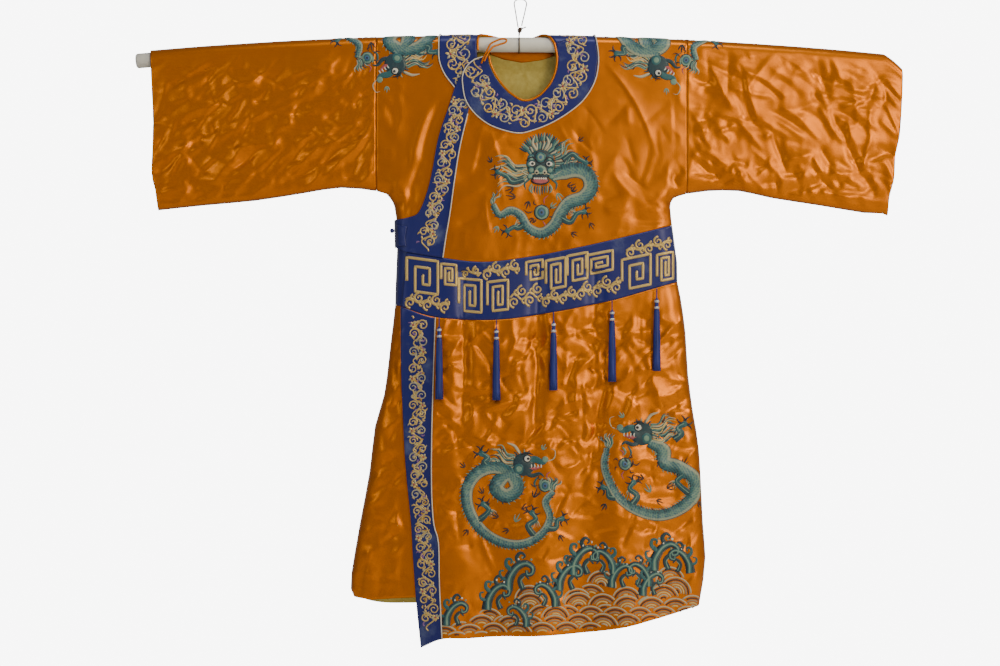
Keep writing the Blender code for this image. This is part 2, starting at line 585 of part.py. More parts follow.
def make_hanging_cord():
    """A ring of cord tied round the pole, its knot, and the loop over it that takes a hook."""
    angle = np.arange(24) * 2 * math.pi / 24
    cord = CORD_RADIUS - HITCH_SQUEEZE * np.clip(np.sin(angle) * 1.6, 0, 1)
    reach = POLE_RADIUS + 1.4 * GAP + cord
    ring = np.stack([np.full(24, -1.0), reach * np.sin(angle), pole_z(0) + reach * np.cos(angle)], axis=1)
    round_piece("cord_hitch", ring, cord, 8, "brown_cord", closed=True)
    foot = pole_z(0) + POLE_RADIUS + 2 * (GAP + CORD_RADIUS)
    knot = [(-1, 0, foot, 1.6), (-0.6, 0, -71, 2.0), (-0.2, 0, -68, 4.2), (0.6, 0, -64.5, 5.2), (3.0, 0, -62, 4.0),
            (6.5, 0.4, -60.6, 1.6), (10.5, 0.8, -59.4, 1.3), (14.0, 1.0, -57.5, 1.3)]
    table = columns(knot)
    round_piece("cord_knot", table[:, :3], table[:, 3], 10, "brown_cord")
    route = [(-3.0, 0, -59.2), (-4.6, 0, -50), (-7.2, 0, -34), (-10.2, 0, -16), (-11.4, 0, -8), (-9.8, 0, -2.2),
             (-5, 0, 0.9), (0, 0, CORD_RADIUS), (6, 0, 1.1), (12, 0, -1.2), (15.2, 0, -7.5), (13.6, 0, -16),
             (9.6, 0, -34), (5.6, 0, -50), (4.6, 0.6, -55.6)]
    round_piece("hanging_loop", smooth(route, 4.0), CORD_RADIUS, 8, "brown_cord")


def make_tassels():
    """Each tassel: a cord with a cap and two silver bands, and the floss tuft under it."""
    head = columns([(0, 1.1), (18, 1.1), (21, 2.2), (25, 4.4), (26.5, 5.4), (29, 5.4), (30, 4.2), (38.5, 4.2),
                    (39.5, 5.6), (42.5, 5.6), (TASSEL_HEAD - GAP, 4.6)])
    for number, (x, top, foot) in enumerate(TASSELS, 1):
        z = np.linspace(top, foot, 12)
        spots = columns([(x + dx, h) for h in z for dx in (-9, 0, 9)])
        surface, _ = shell(to_cut(spots))
        lift = overlap_lift(to_cut(spots)).max() + TRIM + GAP
        y = surface[:, 1].min() - lift - 8.3 - TASSEL_CLEARANCE
        down = top - head[:, 0]
        path = np.stack([np.full(len(down), x), np.full(len(down), y), down], axis=1)
        round_piece(f"tassel_{number}_head", path, head[:, 1], 10, "silver_band")
        tuft_top = top - TASSEL_HEAD
        share = np.array([0, 0.04, 0.15, 0.5, 0.85, 1.0])
        path = np.stack([np.full(6, x), np.full(6, y), tuft_top + (foot - tuft_top) * share], axis=1)
        round_piece(f"tassel_{number}_tuft", path, [4.4, 5.6, 6.2, 7.2, 8.0, 8.3], 10, "blue_floss")


def make_neck_details():
    """The loop that fastens the collar, and the knot button at the side."""
    loop = [(-82, -30.5, -140), (-77, -31, -127), (-70, -31, -113), (-63, -30, -99), (-52, -29, -92), (-38, -28, -87),
            (-28, -28, -89), (-31, -28.5, -95), (-43, -29, -99), (-56, -30.5, -104), (-64, -32, -113),
            (-70.5, -34.5, -124), (-76, -35.5, -136)]
    round_piece("collar_loop", smooth(loop, 7.0), 2.0, 8, "orange_satin")
    button = columns([(0, 1.4), (1.0, 3.4), (3.5, 4.6), (6.5, 4.6), (9.0, 3.4), (10.0, 1.4)])
    path = np.stack([np.full(6, -273.0), np.full(6, -20.5), -492 - button[:, 0]], axis=1)
    round_piece("side_button", path, button[:, 1], 10, "blue_satin")


def make_robe():
    outline, kept_lines = build_outlines(), pleat_lines() + crest_lines()
    sheet = triangulate(outline, kept_lines)
    # name, material, height of the outer face, thickness, rides on the crossing front, leaves out
    on_front = GAP + TRIM
    pieces = [
        ("sleeve_left", "orange_satin", 0, SATIN, False, ()),
        ("sleeve_right", "orange_satin", 0, SATIN, False, ()),
        ("body_left", "orange_satin", 0, SATIN, False, ()),
        ("body_right", "orange_satin", 0, SATIN, True, ()),
        ("skirt_front", "orange_satin", 0, SATIN, True, ()),
        ("skirt_under", "orange_satin", 0, SATIN, False, ()),
        ("skirt_back", "orange_satin", 0, SATIN, False, ()),
        ("waistband_front", "blue_satin", 0, SATIN, True, ()),
        ("waistband_under", "blue_satin", 0, SATIN, False, ()),
        ("waistband_back", "blue_satin", 0, SATIN, False, ()),
        ("collar_front", "blue_satin", on_front, TRIM, True, ()),
        ("collar_back", "blue_satin", on_front, TRIM, False, ()),
        ("lapel_border", "blue_satin", on_front, TRIM, True, ("collar_front",)),
        ("skirt_border", "blue_satin", on_front, TRIM, True, ()),
        ("side_tie", "blue_satin", on_front + GAP + 2.4, 2.4, True, ()),
        ("back_lining", "yellow_lining", -SATIN - GAP, LINING, False, ()),
        ("neck_facing", "orange_satin", -SATIN - LINING - 2 * GAP, FACING, False, ()),
    ]
    for name, material_name, outer, thickness, lifted, left_out in pieces:
        cloth(name, sheet, outline[name], outer, thickness, material_name,
              [outline[other] for other in left_out], lifted)
    piped = on_front + GAP + PIPING_RADIUS
    rings = (BACK_RING, False), (FRONT_RING, True)
    outer_edge = [(ring_edge(table, 2), lifted) for table, lifted in rings]
    neck_edge = [(ring_edge(BACK_RING[3:], 1), False), (ring_edge(FRONT_RING, 1), True)]
    lapel = smooth(to_cut(LAPEL_INNER), STEP)
    clear_of_ring = np.hypot(*(lapel - NECK).T) > 160 + 3 * PIPING_RADIUS
    skirt = smooth(to_cut(SKIRT_INNER), STEP)
    laid_roll("collar_piping", sheet, outer_edge, piped, PIPING_RADIUS, 6, "cream_piping")
    laid_roll("lapel_piping", sheet, [(lapel[clear_of_ring], True)], piped, PIPING_RADIUS, 6, "cream_piping")
    laid_roll("skirt_border_piping", sheet, [(skirt, True)], piped, PIPING_RADIUS, 6, "cream_piping")
    beside = ROLL_RADIUS + GAP + SEAM_SETBACK
    laid_roll("neck_roll", sheet, neck_edge, 0.8, ROLL_RADIUS, 8, "orange_satin", beside)


clear_scene()
make_pole()
make_hanging_cord()
make_robe()
make_neck_details()
make_tassels()
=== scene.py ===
"""A wrap-over dragon robe of orange satin hanging flat on its pole, as finished surfaces on its frame.

The cloth is drawn in millimetres on its flat cut, (x, drop): drop is the way down the cloth from the
crest line over the pole, plus at the front and minus at the back.  shell() hangs the cut, and
surface() adds the folds and the layers that lie over each other.  Every piece of cloth, braid and
embroidery goes through surface(), so that they all share one set of folds and never cross.
"""

import math

import bpy
import numpy as np
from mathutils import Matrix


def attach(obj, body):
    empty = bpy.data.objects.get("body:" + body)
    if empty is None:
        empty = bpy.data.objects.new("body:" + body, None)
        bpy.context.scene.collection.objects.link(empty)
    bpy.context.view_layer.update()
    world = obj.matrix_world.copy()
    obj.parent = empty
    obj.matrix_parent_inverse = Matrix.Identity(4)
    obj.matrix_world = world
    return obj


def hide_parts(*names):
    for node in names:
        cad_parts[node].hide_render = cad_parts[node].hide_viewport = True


bl_info = {
    "name": "Dragon robe",
    "version": (1, 0, 0),
    "blender": (4, 5, 0),
    "location": "View3D > Sidebar > Robe",
    "description": "Dresses the hanging dragon robe: satin, borders, embroidery, tassels, cord and stage",
    "category": "Object",
}

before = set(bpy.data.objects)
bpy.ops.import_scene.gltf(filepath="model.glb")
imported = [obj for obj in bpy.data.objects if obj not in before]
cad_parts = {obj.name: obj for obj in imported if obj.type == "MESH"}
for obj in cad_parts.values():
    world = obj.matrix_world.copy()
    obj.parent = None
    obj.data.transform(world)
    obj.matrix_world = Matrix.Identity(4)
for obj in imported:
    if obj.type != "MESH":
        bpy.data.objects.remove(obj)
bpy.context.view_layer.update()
MM = 0.001

POLE_RADIUS = 16.0
POLE_ENDS = (-824.5, 776.0)
POLE_MIDDLE_Z = -96.5          # height of the pole's centre line under the loop
POLE_TILT = -0.0056            # slope of the pole
POLE_SAG = 5.83e-5             # how far it bends down, per millimetre of x squared

CREST_RADIUS = 20.5            # outer face of the cloth over the pole
QUARTER = math.pi / 2 * CREST_RADIUS
CUFF_DROOP = 28.0              # how far the cuff past the pole's right end hangs lower
DROOP_START = 781.0

SATIN = 1.5                    # thickness of the lined satin
TRIM = 1.2                     # thickness of the embroidered borders
LINING = 1.0
FACING = 0.8
GAP = 0.36                     # between two pieces, one over the other
SEAM_SETBACK = 0.25             # each piece's share of the gap at a seam

OVERLAP_LIFT = 3.4             # how far the crossing front stands off the piece under it
EDGE_ROUND = 32.0              # width of the rounding at side seams and sleeve bottoms
NECK = (6.5, 59.0)             # centre of the neck ring on the flat cut
CENTRE_BACK = 6.5
SEAMS = {"left": -307.9, "right": 359.0}     # where the sleeves are sewn on

PIPING_RADIUS = 1.3
ROLL_RADIUS = 2.3              # the orange roll round the neck
CORD_RADIUS = 1.3
HITCH_SQUEEZE = 0.4
ROBE_MIDDLE, ROBE_HALF_WIDTH = 25.5, 333.0

# ---------------------------------------------------------------- outline tables
# Sides: under the sleeve from the cuff, round the underarm and down the side seam.  x, z
LEFT_SIDE = [
    (-776.8, -452.6), (-678, -442), (-569, -432), (-465, -416), (-384, -404), (-307.9, -411),
    (-284, -418), (-270, -439), (-264.7, -473), (-263.4, -533), (-266.6, -613), (-267.7, -656),
    (-276.5, -731), (-291, -847), (-311, -916), (-322.5, -1013), (-343, -1123), (-361.6, -1232),
    (-363, -1266), (-356, -1282.5),
]
RIGHT_SIDE = [
    (791, -464), (740, -458), (644, -442), (541, -426), (472, -411), (404, -411), (359, -417),
    (332, -425), (323.6, -439), (326.8, -473), (328.5, -485), (334.3, -530), (339, -563.5),
    (339.7, -606), (346.6, -640), (357, -714), (362.7, -806), (374.3, -893), (386, -967),
    (394.5, -1123), (400, -1198), (395.6, -1247), (386, -1301.6),
]
UNDERARM = {"left": LEFT_SIDE[5], "right": RIGHT_SIDE[6]}      # where the sleeve seam ends
LEFT_CUFF = [(-792.7, -109), (-790.6, -151), (-786.5, -240), (-786.5, -301), (-789, -374), (-781, -411)]
RIGHT_CUFF = [(822, -149), (820.4, -206), (815, -288), (806, -336), (803, -384), (793, -425)]

# Waistband, sewn in between bodice and skirt.  x, z
BAND_TOP = [(-241.7, -543), (-165, -555), (-76, -564), (26, -552), (119, -534), (213, -513), (328.5, -485)]
BAND_BOTTOM = [(-252.6, -660), (-174, -683), (-48, -687.5), (73, -671), (190, -648), (259, -629),
        (339.7, -606)]
UNDER_BAND_TOP = [(-263.4, -533), (-130, -556)]
UNDER_BAND_BOTTOM = [(-267.7, -656), (-130, -680)]
BACK_BAND_TOP = [(-263.4, -533), (-100, -543), (100, -532), (328.5, -485)]
BACK_BAND_BOTTOM = [(-267.7, -656), (-100, -667), (100, -655), (339.7, -606)]

# The crossing front's free edge, its hem, and the inner edges of its borders.  x, z
LAPEL_EDGE = [(-122.6, -169), (-136.7, -186), (-150.7, -228), (-174, -298), (-188, -373),
        (-199.7, -419), (-216, -458), (-236, -470), (-264.7, -473)]
LAPEL_INNER = [(-99, -200), (-108.8, -238), (-127.5, -317), (-139, -387), (-148.4, -457), (-157.8, -513),
        (-164, -555)]
SKIRT_EDGE = [(-252.6, -660), (-253.5, -790), (-247.7, -933), (-242, -1019), (-231.6, -1123),
        (-227.5, -1192), (-219, -1302), (-210, -1388)]
SKIRT_INNER = [(-180, -683), (-182, -740), (-184, -818), (-187, -933), (-187, -1048), (-182, -1123),
        (-172, -1163), (-170, -1250), (-164.5, -1368)]
FRONT_HEM = [(-210, -1388), (-164.5, -1368), (-109, -1367), (-40, -1363), (46, -1361), (132, -1356),
        (219, -1345), (305, -1324), (362, -1307), (386, -1301.6)]
BACK_HEM = [(-356, -1282.5), (-305, -1297), (-219, -1301), (0, -1303), (200, -1303), (386, -1301.6)]
UNDER_HEM = [(-356, -1282.5), (-317, -1287), (-219, -1281), (-115, -1283)]
UNDER_INNER = [(-85, -205), (-100, -400), (-130, -556)]
UNDER_SKIRT_INNER = [(-130, -680), (-120, -980), (-115, -1283)]
LINING_TOP = [(-299, -130), (-150, -112), (-70, -110), (80, -110), (200, -114), (350, -122)]
LINING_INSET = 9.0
FACING_EDGE = [(-66, -108), (0, -107), (70, -108), (76, -118), (45, -128), (5, -133), (-35, -126),
        (-64, -115)]
SIDE_TIE = [(-259, -484), (-240, -488), (-243, -512), (-241, -531), (-256, -530)]

# Neck ring on the crossing front, and its other half over the back and the far shoulder.
# angle in degrees from +x towards the front hem, inner and outer radius
FRONT_RING = [
    (-21, 76.5, 165), (0, 76.5, 162.5), (17, 78.5, 163), (33, 82, 160), (48, 86.5, 155.5),
    (66, 93.5, 155), (82, 98, 160), (94, 95.5, 165.5), (111, 85, 164), (123, 79, 162),
    (134, 75.5, 158.5), (143, 74, 153.5), (151, 73.2, 145.5), (161, 73.2, 136.5), (168, 74, 125),
    (175, 74.5, 106), (180, 75.5, 79),
]
BACK_RING = [
    (155.5, 96, 160), (167, 96.5, 171), (177, 97, 178.5), (187, 99, 181), (198, 104, 186),
    (212, 109, 186), (230, 96, 184), (250, 88, 181), (270, 84, 178), (290, 80, 174),
    (309, 76, 170), (325, 76, 167), (339, 76.5, 165),
]

# Depth of the hanging tube added to the crest radius, down the robe.  z, depth
BELLY = [(-97, 0.0), (-200, 1.0), (-450, 4.5), (-600, 7.0), (-900, 17.0), (-1400, 30.0)]
SLEEVE_TAPER = 4.5             # how much flatter a sleeve is at its bottom fold
FLARE = {"start": -760.0, "full": -1300.0, "height": 8.0, "front_wave": 196.0, "back_wave": 228.0}

# Pleats let into the skirt under the band.  x at the band, x at the hem, depth at the band
PLEATS = [(-118, -128, 7.0), (40, 22, 8.0), (162, 172, 7.0)]
PLEAT_HALF_WIDTH = 15.0
PLEAT_TOP, PLEAT_END = -640.0, -1150.0

# Tassels under the band.  x, z of the cord's top, z of the tuft's foot
TASSELS = [(-171.5, -682, -857), (-49.7, -686, -859), (72, -671, -838), (197, -646, -820),
        (292.5, -621, -797)]
TASSEL_HEAD = 44.0             # cord, cap and bands, down to the tuft
TASSEL_CLEARANCE = 0.6


# ---------------------------------------------------------------- small helpers
def columns(rows):
    return np.array(rows, float)


def pole_z(x):
    """Height of the pole's centre line: a straight slope less a parabola."""
    return POLE_MIDDLE_Z + POLE_TILT * x - POLE_SAG * x * x


def crest_z(x):
    """Height of the centre that the cloth folds round; past the pole's right end it droops."""
    past = np.clip(np.asarray(x, float) - DROOP_START, 0, None)
    return pole_z(np.asarray(x, float)) - CUFF_DROOP * (past / (RIGHT_CUFF[0][0] - DROOP_START)) ** 1.3


def to_cut(points, side=1):
    """(x, z) on the hanging robe to (x, drop) on the flat cut; side is 1 at the front, -1 at the back."""
    p = columns(points)
    return np.stack([p[:, 0], side * (QUARTER + crest_z(p[:, 0]) - p[:, 1])], axis=1)


def smooth(rows, step):
    """A Catmull-Rom curve through the rows, with points about step apart."""
    p = columns(rows)
    padded = np.vstack([2 * p[0] - p[1], p, 2 * p[-1] - p[-2]])
    made = []
    for a, b, c, d in zip(padded, padded[1:], padded[2:], padded[3:]):
        count = max(1, round(np.linalg.norm(c - b) / step))
        t = (np.arange(count) / count)[:, None]
        made.append(0.5 * (2 * b + (c - a) * t + (2 * a - 5 * b + 4 * c - d) * t**2
                + (3 * b - a - 3 * c + d) * t**3))
    return np.vstack([*made, p[-1:]])


def straight(rows, step):
    """Points about step apart on straight runs between the rows."""
    p = columns(rows)
    made = [a + (b - a) * (np.arange(n) / n)[:, None]
            for a, b in zip(p, p[1:]) for n in [max(1, round(np.linalg.norm(b - a) / step))]]
    return np.vstack([*made, p[-1:]])


def ring_edge(table, column=None):
    """One edge of the neck ring as points on the flat cut, or its middle line without a column."""
    t = columns(table)
    angle, radius = np.radians(t[:, 0]), t[:, column] if column else (t[:, 1] + t[:, 2]) / 2
    return np.stack([NECK[0] + radius * np.cos(angle), NECK[1] + radius * np.sin(angle)], axis=1)


def heading(degrees):
    """The direction at an angle, as (x, z)."""
    turn = math.radians(degrees)
    return np.array([math.cos(turn), math.sin(turn)])


def nearest(points, line):
    """(distance, vector from the line to the point, run of the line there) for many points and one line."""
    a, run = line[:-1], np.diff(line, axis=0)
    reach = np.clip(((points[:, None] - a) * run).sum(2) / (run**2).sum(1), 0, 1)
    foot = a + reach[..., None] * run
    away = np.linalg.norm(points[:, None] - foot, axis=2)
    best = away.argmin(axis=1)
    row = np.arange(len(points))
    return away[row, best], points - foot[row, best], run[best]


# ---------------------------------------------------------------- the shape of the hanging cloth
SIDES = {"left": smooth(LEFT_SIDE, 45), "right": smooth(RIGHT_SIDE, 45)}
INWARD = {"left": 1.0, "right": -1.0}


def edge_share(points):
    """How far in from the side seams a point is, 0 to 1 over EDGE_ROUND, and which way is inwards."""
    share = np.ones(len(points))
    inward = np.zeros((len(points), 2))
    for name, line in SIDES.items():
        away, direction, run = nearest(points, line)
        across = np.stack([-run[:, 1], run[:, 0]], axis=1) * INWARD[name]
        across /= np.linalg.norm(across, axis=1)[:, None]
        direction = np.where(away[:, None] > 0.05, direction / np.maximum(away, 1e-9)[:, None], across)
        closer = away / EDGE_ROUND < share
        share[closer] = away[closer] / EDGE_ROUND
        inward[closer] = direction[closer]
    return share, inward


def full_depth(points, back):
    """Half the depth of the robe away from its edges: crest radius, belly, flare waves and pleats."""
    x, z = points[:, 0], points[:, 1]
    across = 1 - ((x - ROBE_MIDDLE) / np.where(z > -420, ROBE_HALF_WIDTH, ROBE_HALF_WIDTH + 30)) ** 2
    middle = np.clip(across, 0, None)
    belly_z, belly_depth = columns(BELLY)[::-1].T
    depth = CREST_RADIUS + np.interp(z, belly_z, belly_depth) * middle
    sleeve = np.clip((np.abs(x - ROBE_MIDDLE) - 300) / 130, 0, 1)
    hang = np.clip((crest_z(x) - z) / 330, 0, 1)
    depth = depth - SLEEVE_TAPER * sleeve * hang * (z > -500)
    grown = np.clip((FLARE["start"] - z) / (FLARE["start"] - FLARE["full"]), 0, 1)
    wave = np.where(back, FLARE["back_wave"], FLARE["front_wave"])
    depth += FLARE["height"] * grown * np.sin(2 * math.pi * x / wave + np.where(back, 1.0, 0.3)) * middle**0.5
    faded = np.clip((PLEAT_END - z) / (PLEAT_END - PLEAT_TOP), 0, 1) * (z < PLEAT_TOP + 60)
    run = np.clip((PLEAT_TOP - z) / (PLEAT_TOP + 1370), 0, 1)
    for x_band, x_hem, pleat_depth in PLEATS:
        off_line = (x - (x_band + (x_hem - x_band) * run)) / PLEAT_HALF_WIDTH
        depth -= np.where(back, 0, pleat_depth * faded * np.exp(-off_line**2))
    return depth


def shell(cut):
    """Points of the cut to (points, outward normals) on the robe's base surface, in millimetres."""
    x, drop = cut[:, 0], cut[:, 1]
    way = np.where(drop >= 0, -1.0, 1.0)
    reach = np.abs(drop)
    turned = np.clip(reach / CREST_RADIUS, 0, math.pi / 2)
    over = reach < QUARTER
    z = crest_z(x) + np.where(over, CREST_RADIUS * np.cos(turned), QUARTER - reach)
    flat = np.stack([x, z], axis=1)
    share, inward = edge_share(flat)
    back = drop < 0
    depth = full_depth(flat, back)
    rounding = np.sqrt(np.clip(1 - (1 - share) ** 2, 0, 1))
    nudge = 1.0
    slope = np.stack([full_depth(flat + (nudge, 0), back) - full_depth(flat - (nudge, 0), back),
            full_depth(flat + (0, nudge), back) - full_depth(flat - (0, nudge), back)], axis=1)
    slope /= 2 * nudge
    steep = (2 * depth * rounding**2)[:, None] * slope
    steep += (depth**2 * 2 * (1 - share) / EDGE_ROUND)[:, None] * inward
    y = way * np.where(over, CREST_RADIUS * np.sin(turned), depth * rounding)
    normal = np.stack([-steep[:, 0], 2 * way * depth * rounding, -steep[:, 1]], axis=1)
    radial = np.stack([np.zeros_like(x), way * np.sin(turned), np.cos(turned)], axis=1)
    normal = np.where(over[:, None], radial, normal)
    normal /= np.linalg.norm(normal, axis=1)[:, None]
    return np.stack([x, y, z], axis=1), normal


def overlap_lift(cut):
    """The crossing front stands off the under front on the left, and comes down to it on the right."""
    eased = np.clip((50 - cut[:, 0]) / 92, 0, 1)
    return OVERLAP_LIFT * eased * eased * (3 - 2 * eased) * (cut[:, 1] > 0)


# ---------------------------------------------------------------- the folds
# Main creases as they hang, in millimetres: x, z, x, z, width, height (troughs are minus), bow
CREASES = [
    # left sleeve
    (-575, -224, -465, -174, 9, -3.4, 6), (-600, -262, -440, -196, 14, 2.6, 5),
        (-513, -397, -378, -320, 10, -6.5, 7),
    (-530, -380, -400, -300, 11, 3.6, 6), (-644, -413, -549, -317, 10, -5.5, -6),
        (-660, -398, -568, -306, 11, 3.4, -6),
    (-777, -377, -726, -329, 8, -4.2, 4), (-715, -327, -664, -373, 8, -3.8, 5),
        (-709, -312, -678, -298, 6, -2.6, 2),
    (-722, -269, -695, -258, 5, -2.4, 2), (-715, -267, -633, -226, 8, -4.4, 5),
        (-720, -250, -640, -208, 9, 3.0, 4),
    (-733, -178, -647, -137, 8, -3.6, 3), (-728, -196, -660, -160, 7, 2.4, 3),
        (-678, -188, -603, -120, 8, -3.2, -5),
    (-595, -298, -575, -247, 6, -3.2, 3), (-568, -296, -534, -291, 5, -2.6, 2),
        (-544, -248, -523, -247, 4, -2.2, 1),
    (-417, -295, -438, -277, 6, 3.4, 2), (-417, -295, -393, -271, 6, 3.2, -2),
        (-417, -295, -373, -316, 7, 3.6, 2),
    (-623, -240, -390, -144, 26, 3.4, 12), (-600, -275, -385, -186, 20, -3.0, 10),
        (-715, -391, -689, -406, 5, -2.8, 2),
    (-773, -432, -660, -424, 7, -3.2, 3), (-655, -424, -575, -418, 7, -3.0, -3),
        (-379, -377, -352, -387, 5, -3.4, 2),
    (-760, -300, -738, -262, 8, 2.8, 3), (-748, -222, -700, -206, 7, 2.4, 2),
        (-500, -250, -452, -232, 7, -2.4, 3),
    (-470, -352, -430, -312, 8, 2.6, 3), (-612, -352, -588, -306, 8, 2.4, -3),
        (-480, -160, -400, -138, 10, 1.8, 3),
    (-640, -180, -520, -150, 12, 2.0, 4), (-360, -352, -322, -300, 7, -2.8, 3),
        (-352, -300, -318, -262, 6, -2.2, 2),
    (-345, -250, -316, -214, 6, 1.8, 2), (-346, -398, -314, -370, 6, 2.4, 2),
    # right sleeve
    (624, -202, 665, -230, 9, -4.4, 4), (665, -230, 696, -295, 9, -5.2, 4),
        (696, -295, 755, -411, 10, -5.0, 5),
    (640, -205, 700, -268, 9, 3.6, 5), (704, -275, 768, -400, 10, 3.6, 6), (621, -154, 674, -178, 8, -3.6, 3),
    (453, -103, 497, -168, 9, 3.4, 4), (727, -151, 758, -164, 6, -2.6, 2), (758, -164, 816, -223, 7, -3.4, 4),
    (371, -329, 432, -367, 10, 4.8, 6), (432, -367, 480, -380, 9, 4.0, 4), (375, -343, 432, -381, 9, -5.4, 6),
    (386, -312, 446, -356, 7, 3.0, 5), (569, -411, 655, -389, 11, -6.0, 5),
        (655, -389, 679, -418, 8, -4.2, 3),
    (501, -360, 535, -355, 7, -4.0, 3), (559, -377, 593, -372, 6, -3.4, 2),
        (518, -396, 556, -392, 6, -3.6, 2),
    (398, -247, 439, -271, 7, 3.0, 3), (374, -284, 401, -281, 5, 2.4, 2), (525, -295, 538, -291, 5, 3.0, 1),
    (569, -346, 628, -329, 8, 3.6, 4), (744, -346, 806, -332, 8, -4.4, 4), (748, -219, 761, -175, 7, -3.0, 3),
    (645, -319, 669, -360, 7, -3.4, 3), (676, -377, 689, -401, 6, -3.0, 2),
        (741, -380, 792, -391, 8, -3.2, 3),
    (532, -182, 556, -144, 10, 2.0, 3), (326, -380, 340, -404, 7, -3.4, 2),
        (420, -200, 600, -300, 26, 2.6, 10),
    (470, -230, 640, -330, 22, -2.6, 9), (560, -230, 610, -262, 9, 2.2, 3), (770, -260, 808, -296, 8, 2.8, 3),
    (470, -410, 520, -404, 6, -2.8, 2), (700, -430, 776, -446, 7, -3.0, 3),
        (600, -120, 700, -140, 12, 1.8, 4),
    # bodice
    (-172, -222, -212, -350, 9, -3.0, 6), (-212, -350, -243, -459, 9, -3.6, 4),
        (-196, -240, -232, -360, 9, 2.2, 5),
    (-299, -415, -251, -446, 8, -3.8, 3), (-133, -389, -58, -336, 20, -2.4, 8),
        (-76, -407, -150, -446, 11, 2.0, 4),
    (-133, -486, -76, -455, 9, -2.2, 3), (196, -152, 284, -310, 5, 1.7, -10),
        (117, -284, 161, -332, 6, -1.6, 3),
    (170, -429, 218, -415, 7, -2.0, 3), (227, -372, 271, -407, 7, -2.2, 4), (183, -455, 236, -446, 7, 1.9, 3),
    (240, -473, 310, -477, 8, -2.8, 3), (328, -380, 350, -367, 7, -2.8, 2), (250, -440, 316, -420, 9, 2.0, 4),
    (-296, -240, -260, -300, 12, 1.8, 4), (60, -250, 130, -232, 10, 1.3, 4),
        (-60, -250, -90, -300, 10, 1.3, 3),
    # skirt
    (-163, -719, -123, -722, 6, -2.8, 2), (-10, -724, 63, -727, 7, -3.0, 3),
        (-94, -733, -62, -782, 5, -3.2, 3),
    (-169, -840, -129, -880, 7, -3.4, 3), (-183, -874, -155, -897, 5, -3.0, 3),
        (-155, -897, -149, -926, 5, -2.8, 3),
    (-186, -937, -152, -958, 6, -3.0, 2), (-39, -891, -2, -840, 6, -3.4, 4), (-28, -900, 8, -852, 6, 2.8, 4),
    (-42, -811, -19, -840, 5, -2.6, 2), (108, -706, 165, -690, 6, -3.2, 3), (76, -716, 99, -707, 5, -2.4, 1),
    (110, -770, 185, -719, 14, -3.4, 6), (185, -742, 185, -825, 9, -5.0, 3),
        (185, -825, 162, -912, 9, -4.8, 3),
    (162, -912, 151, -1012, 8, -3.6, 2), (205, -750, 202, -830, 9, 3.0, 3), (202, -830, 180, -930, 9, 3.0, 3),
    (214, -730, 237, -676, 6, -3.0, 3), (226, -857, 249, -825, 5, -3.0, 2),
        (237, -857, 277, -840, 5, -3.0, 2),
    (318, -880, 375, -840, 7, -3.4, 4), (59, -926, 84, -874, 6, -3.2, 3), (139, -955, 185, -897, 6, -3.0, 3),
    (-120, -700, -118, -800, 9, -3.6, 2), (-118, -800, -122, -900, 8, -3.0, 2),
        (40, -700, 38, -800, 9, -4.0, 2),
    (38, -800, 30, -930, 9, -3.2, 3), (-100, -705, -98, -830, 10, 2.6, 3), (62, -700, 60, -830, 10, 2.6, 3),
    (-278, -883, -255, -857, 6, -3.0, 2), (-330, -1180, -300, -1120, 7, -3.2, 3),
        (-300, -1010, -262, -975, 6, -2.8, 3),
    (-345, -1270, -330, -1180, 8, -3.4, 3), (-300, -1280, -292, -1200, 8, -3.2, 3),
        (-268, -1270, -262, -1170, 8, 2.8, 3),
    (270, -760, 300, -860, 9, 2.6, 4), (330, -760, 345, -860, 9, -3.0, 4), (120, -800, 128, -900, 9, 2.4, 4),
]
# Smaller creases strewn over an area: x, z of its corners, how many, length, width, height, angle, spread
STREWN = [
    (-785, -120, -320, -440, 170, (22, 120), (3.5, 7), (1.0, 3.4), 32, 26),
    (370, -110, 812, -450, 170, (22, 120), (3.5, 7), (1.0, 3.4), -38, 34),
    (-290, -170, -215, -520, 22, (18, 60), (4, 7), (0.5, 1.7), -70, 30),
    (-110, -230, 345, -520, 70, (25, 110), (4, 9), (0.4, 1.5), 80, 40),
    (-180, -680, 372, -960, 230, (16, 80), (3, 6.5), (1.2, 3.6), 10, 65),
    (-184, -940, 392, -1190, 190, (16, 80), (3, 6.5), (1.1, 3.2), 20, 80),
    (-170, -1150, 395, -1350, 90, (12, 45), (3, 6), (0.5, 1.7), 60, 60),
    (-345, -700, -250, -1280, 80, (18, 80), (3, 6.5), (1.1, 3.4), 45, 60),
]
CELL = 2.0                     # spacing of the height table over the cut
TABLE_LOW = (-812.0, -1350.0)
TABLE_HIGH = (842.0, 1404.0)


def crease_height(points, start, end, width, height, bow):
    """height * exp(-(sqrt((d / w)^2 + 0.1) - 0.3)), with d the distance from a line bowed by bow * (1 - t^2)

    and t from -1 to 1 along it.  One side of the fold is steeper than the other, and both ends fade.
    """
    run = end - start
    length = np.linalg.norm(run)
    run = run / length
    away = points - (start + end) / 2
    along = (away @ run) / (length / 2)
    aside = away @ np.array([-run[1], run[0]]) - bow * (1 - np.clip(along, -1.4, 1.4) ** 2)
    share = aside / np.where(aside > 0, width * 0.6, width * 1.25)
    ends = 1 / (1 + np.exp((np.abs(along) - 0.9) * 9))
    return height * np.exp(-(np.sqrt(share**2 + 0.1) - 0.3)) * ends


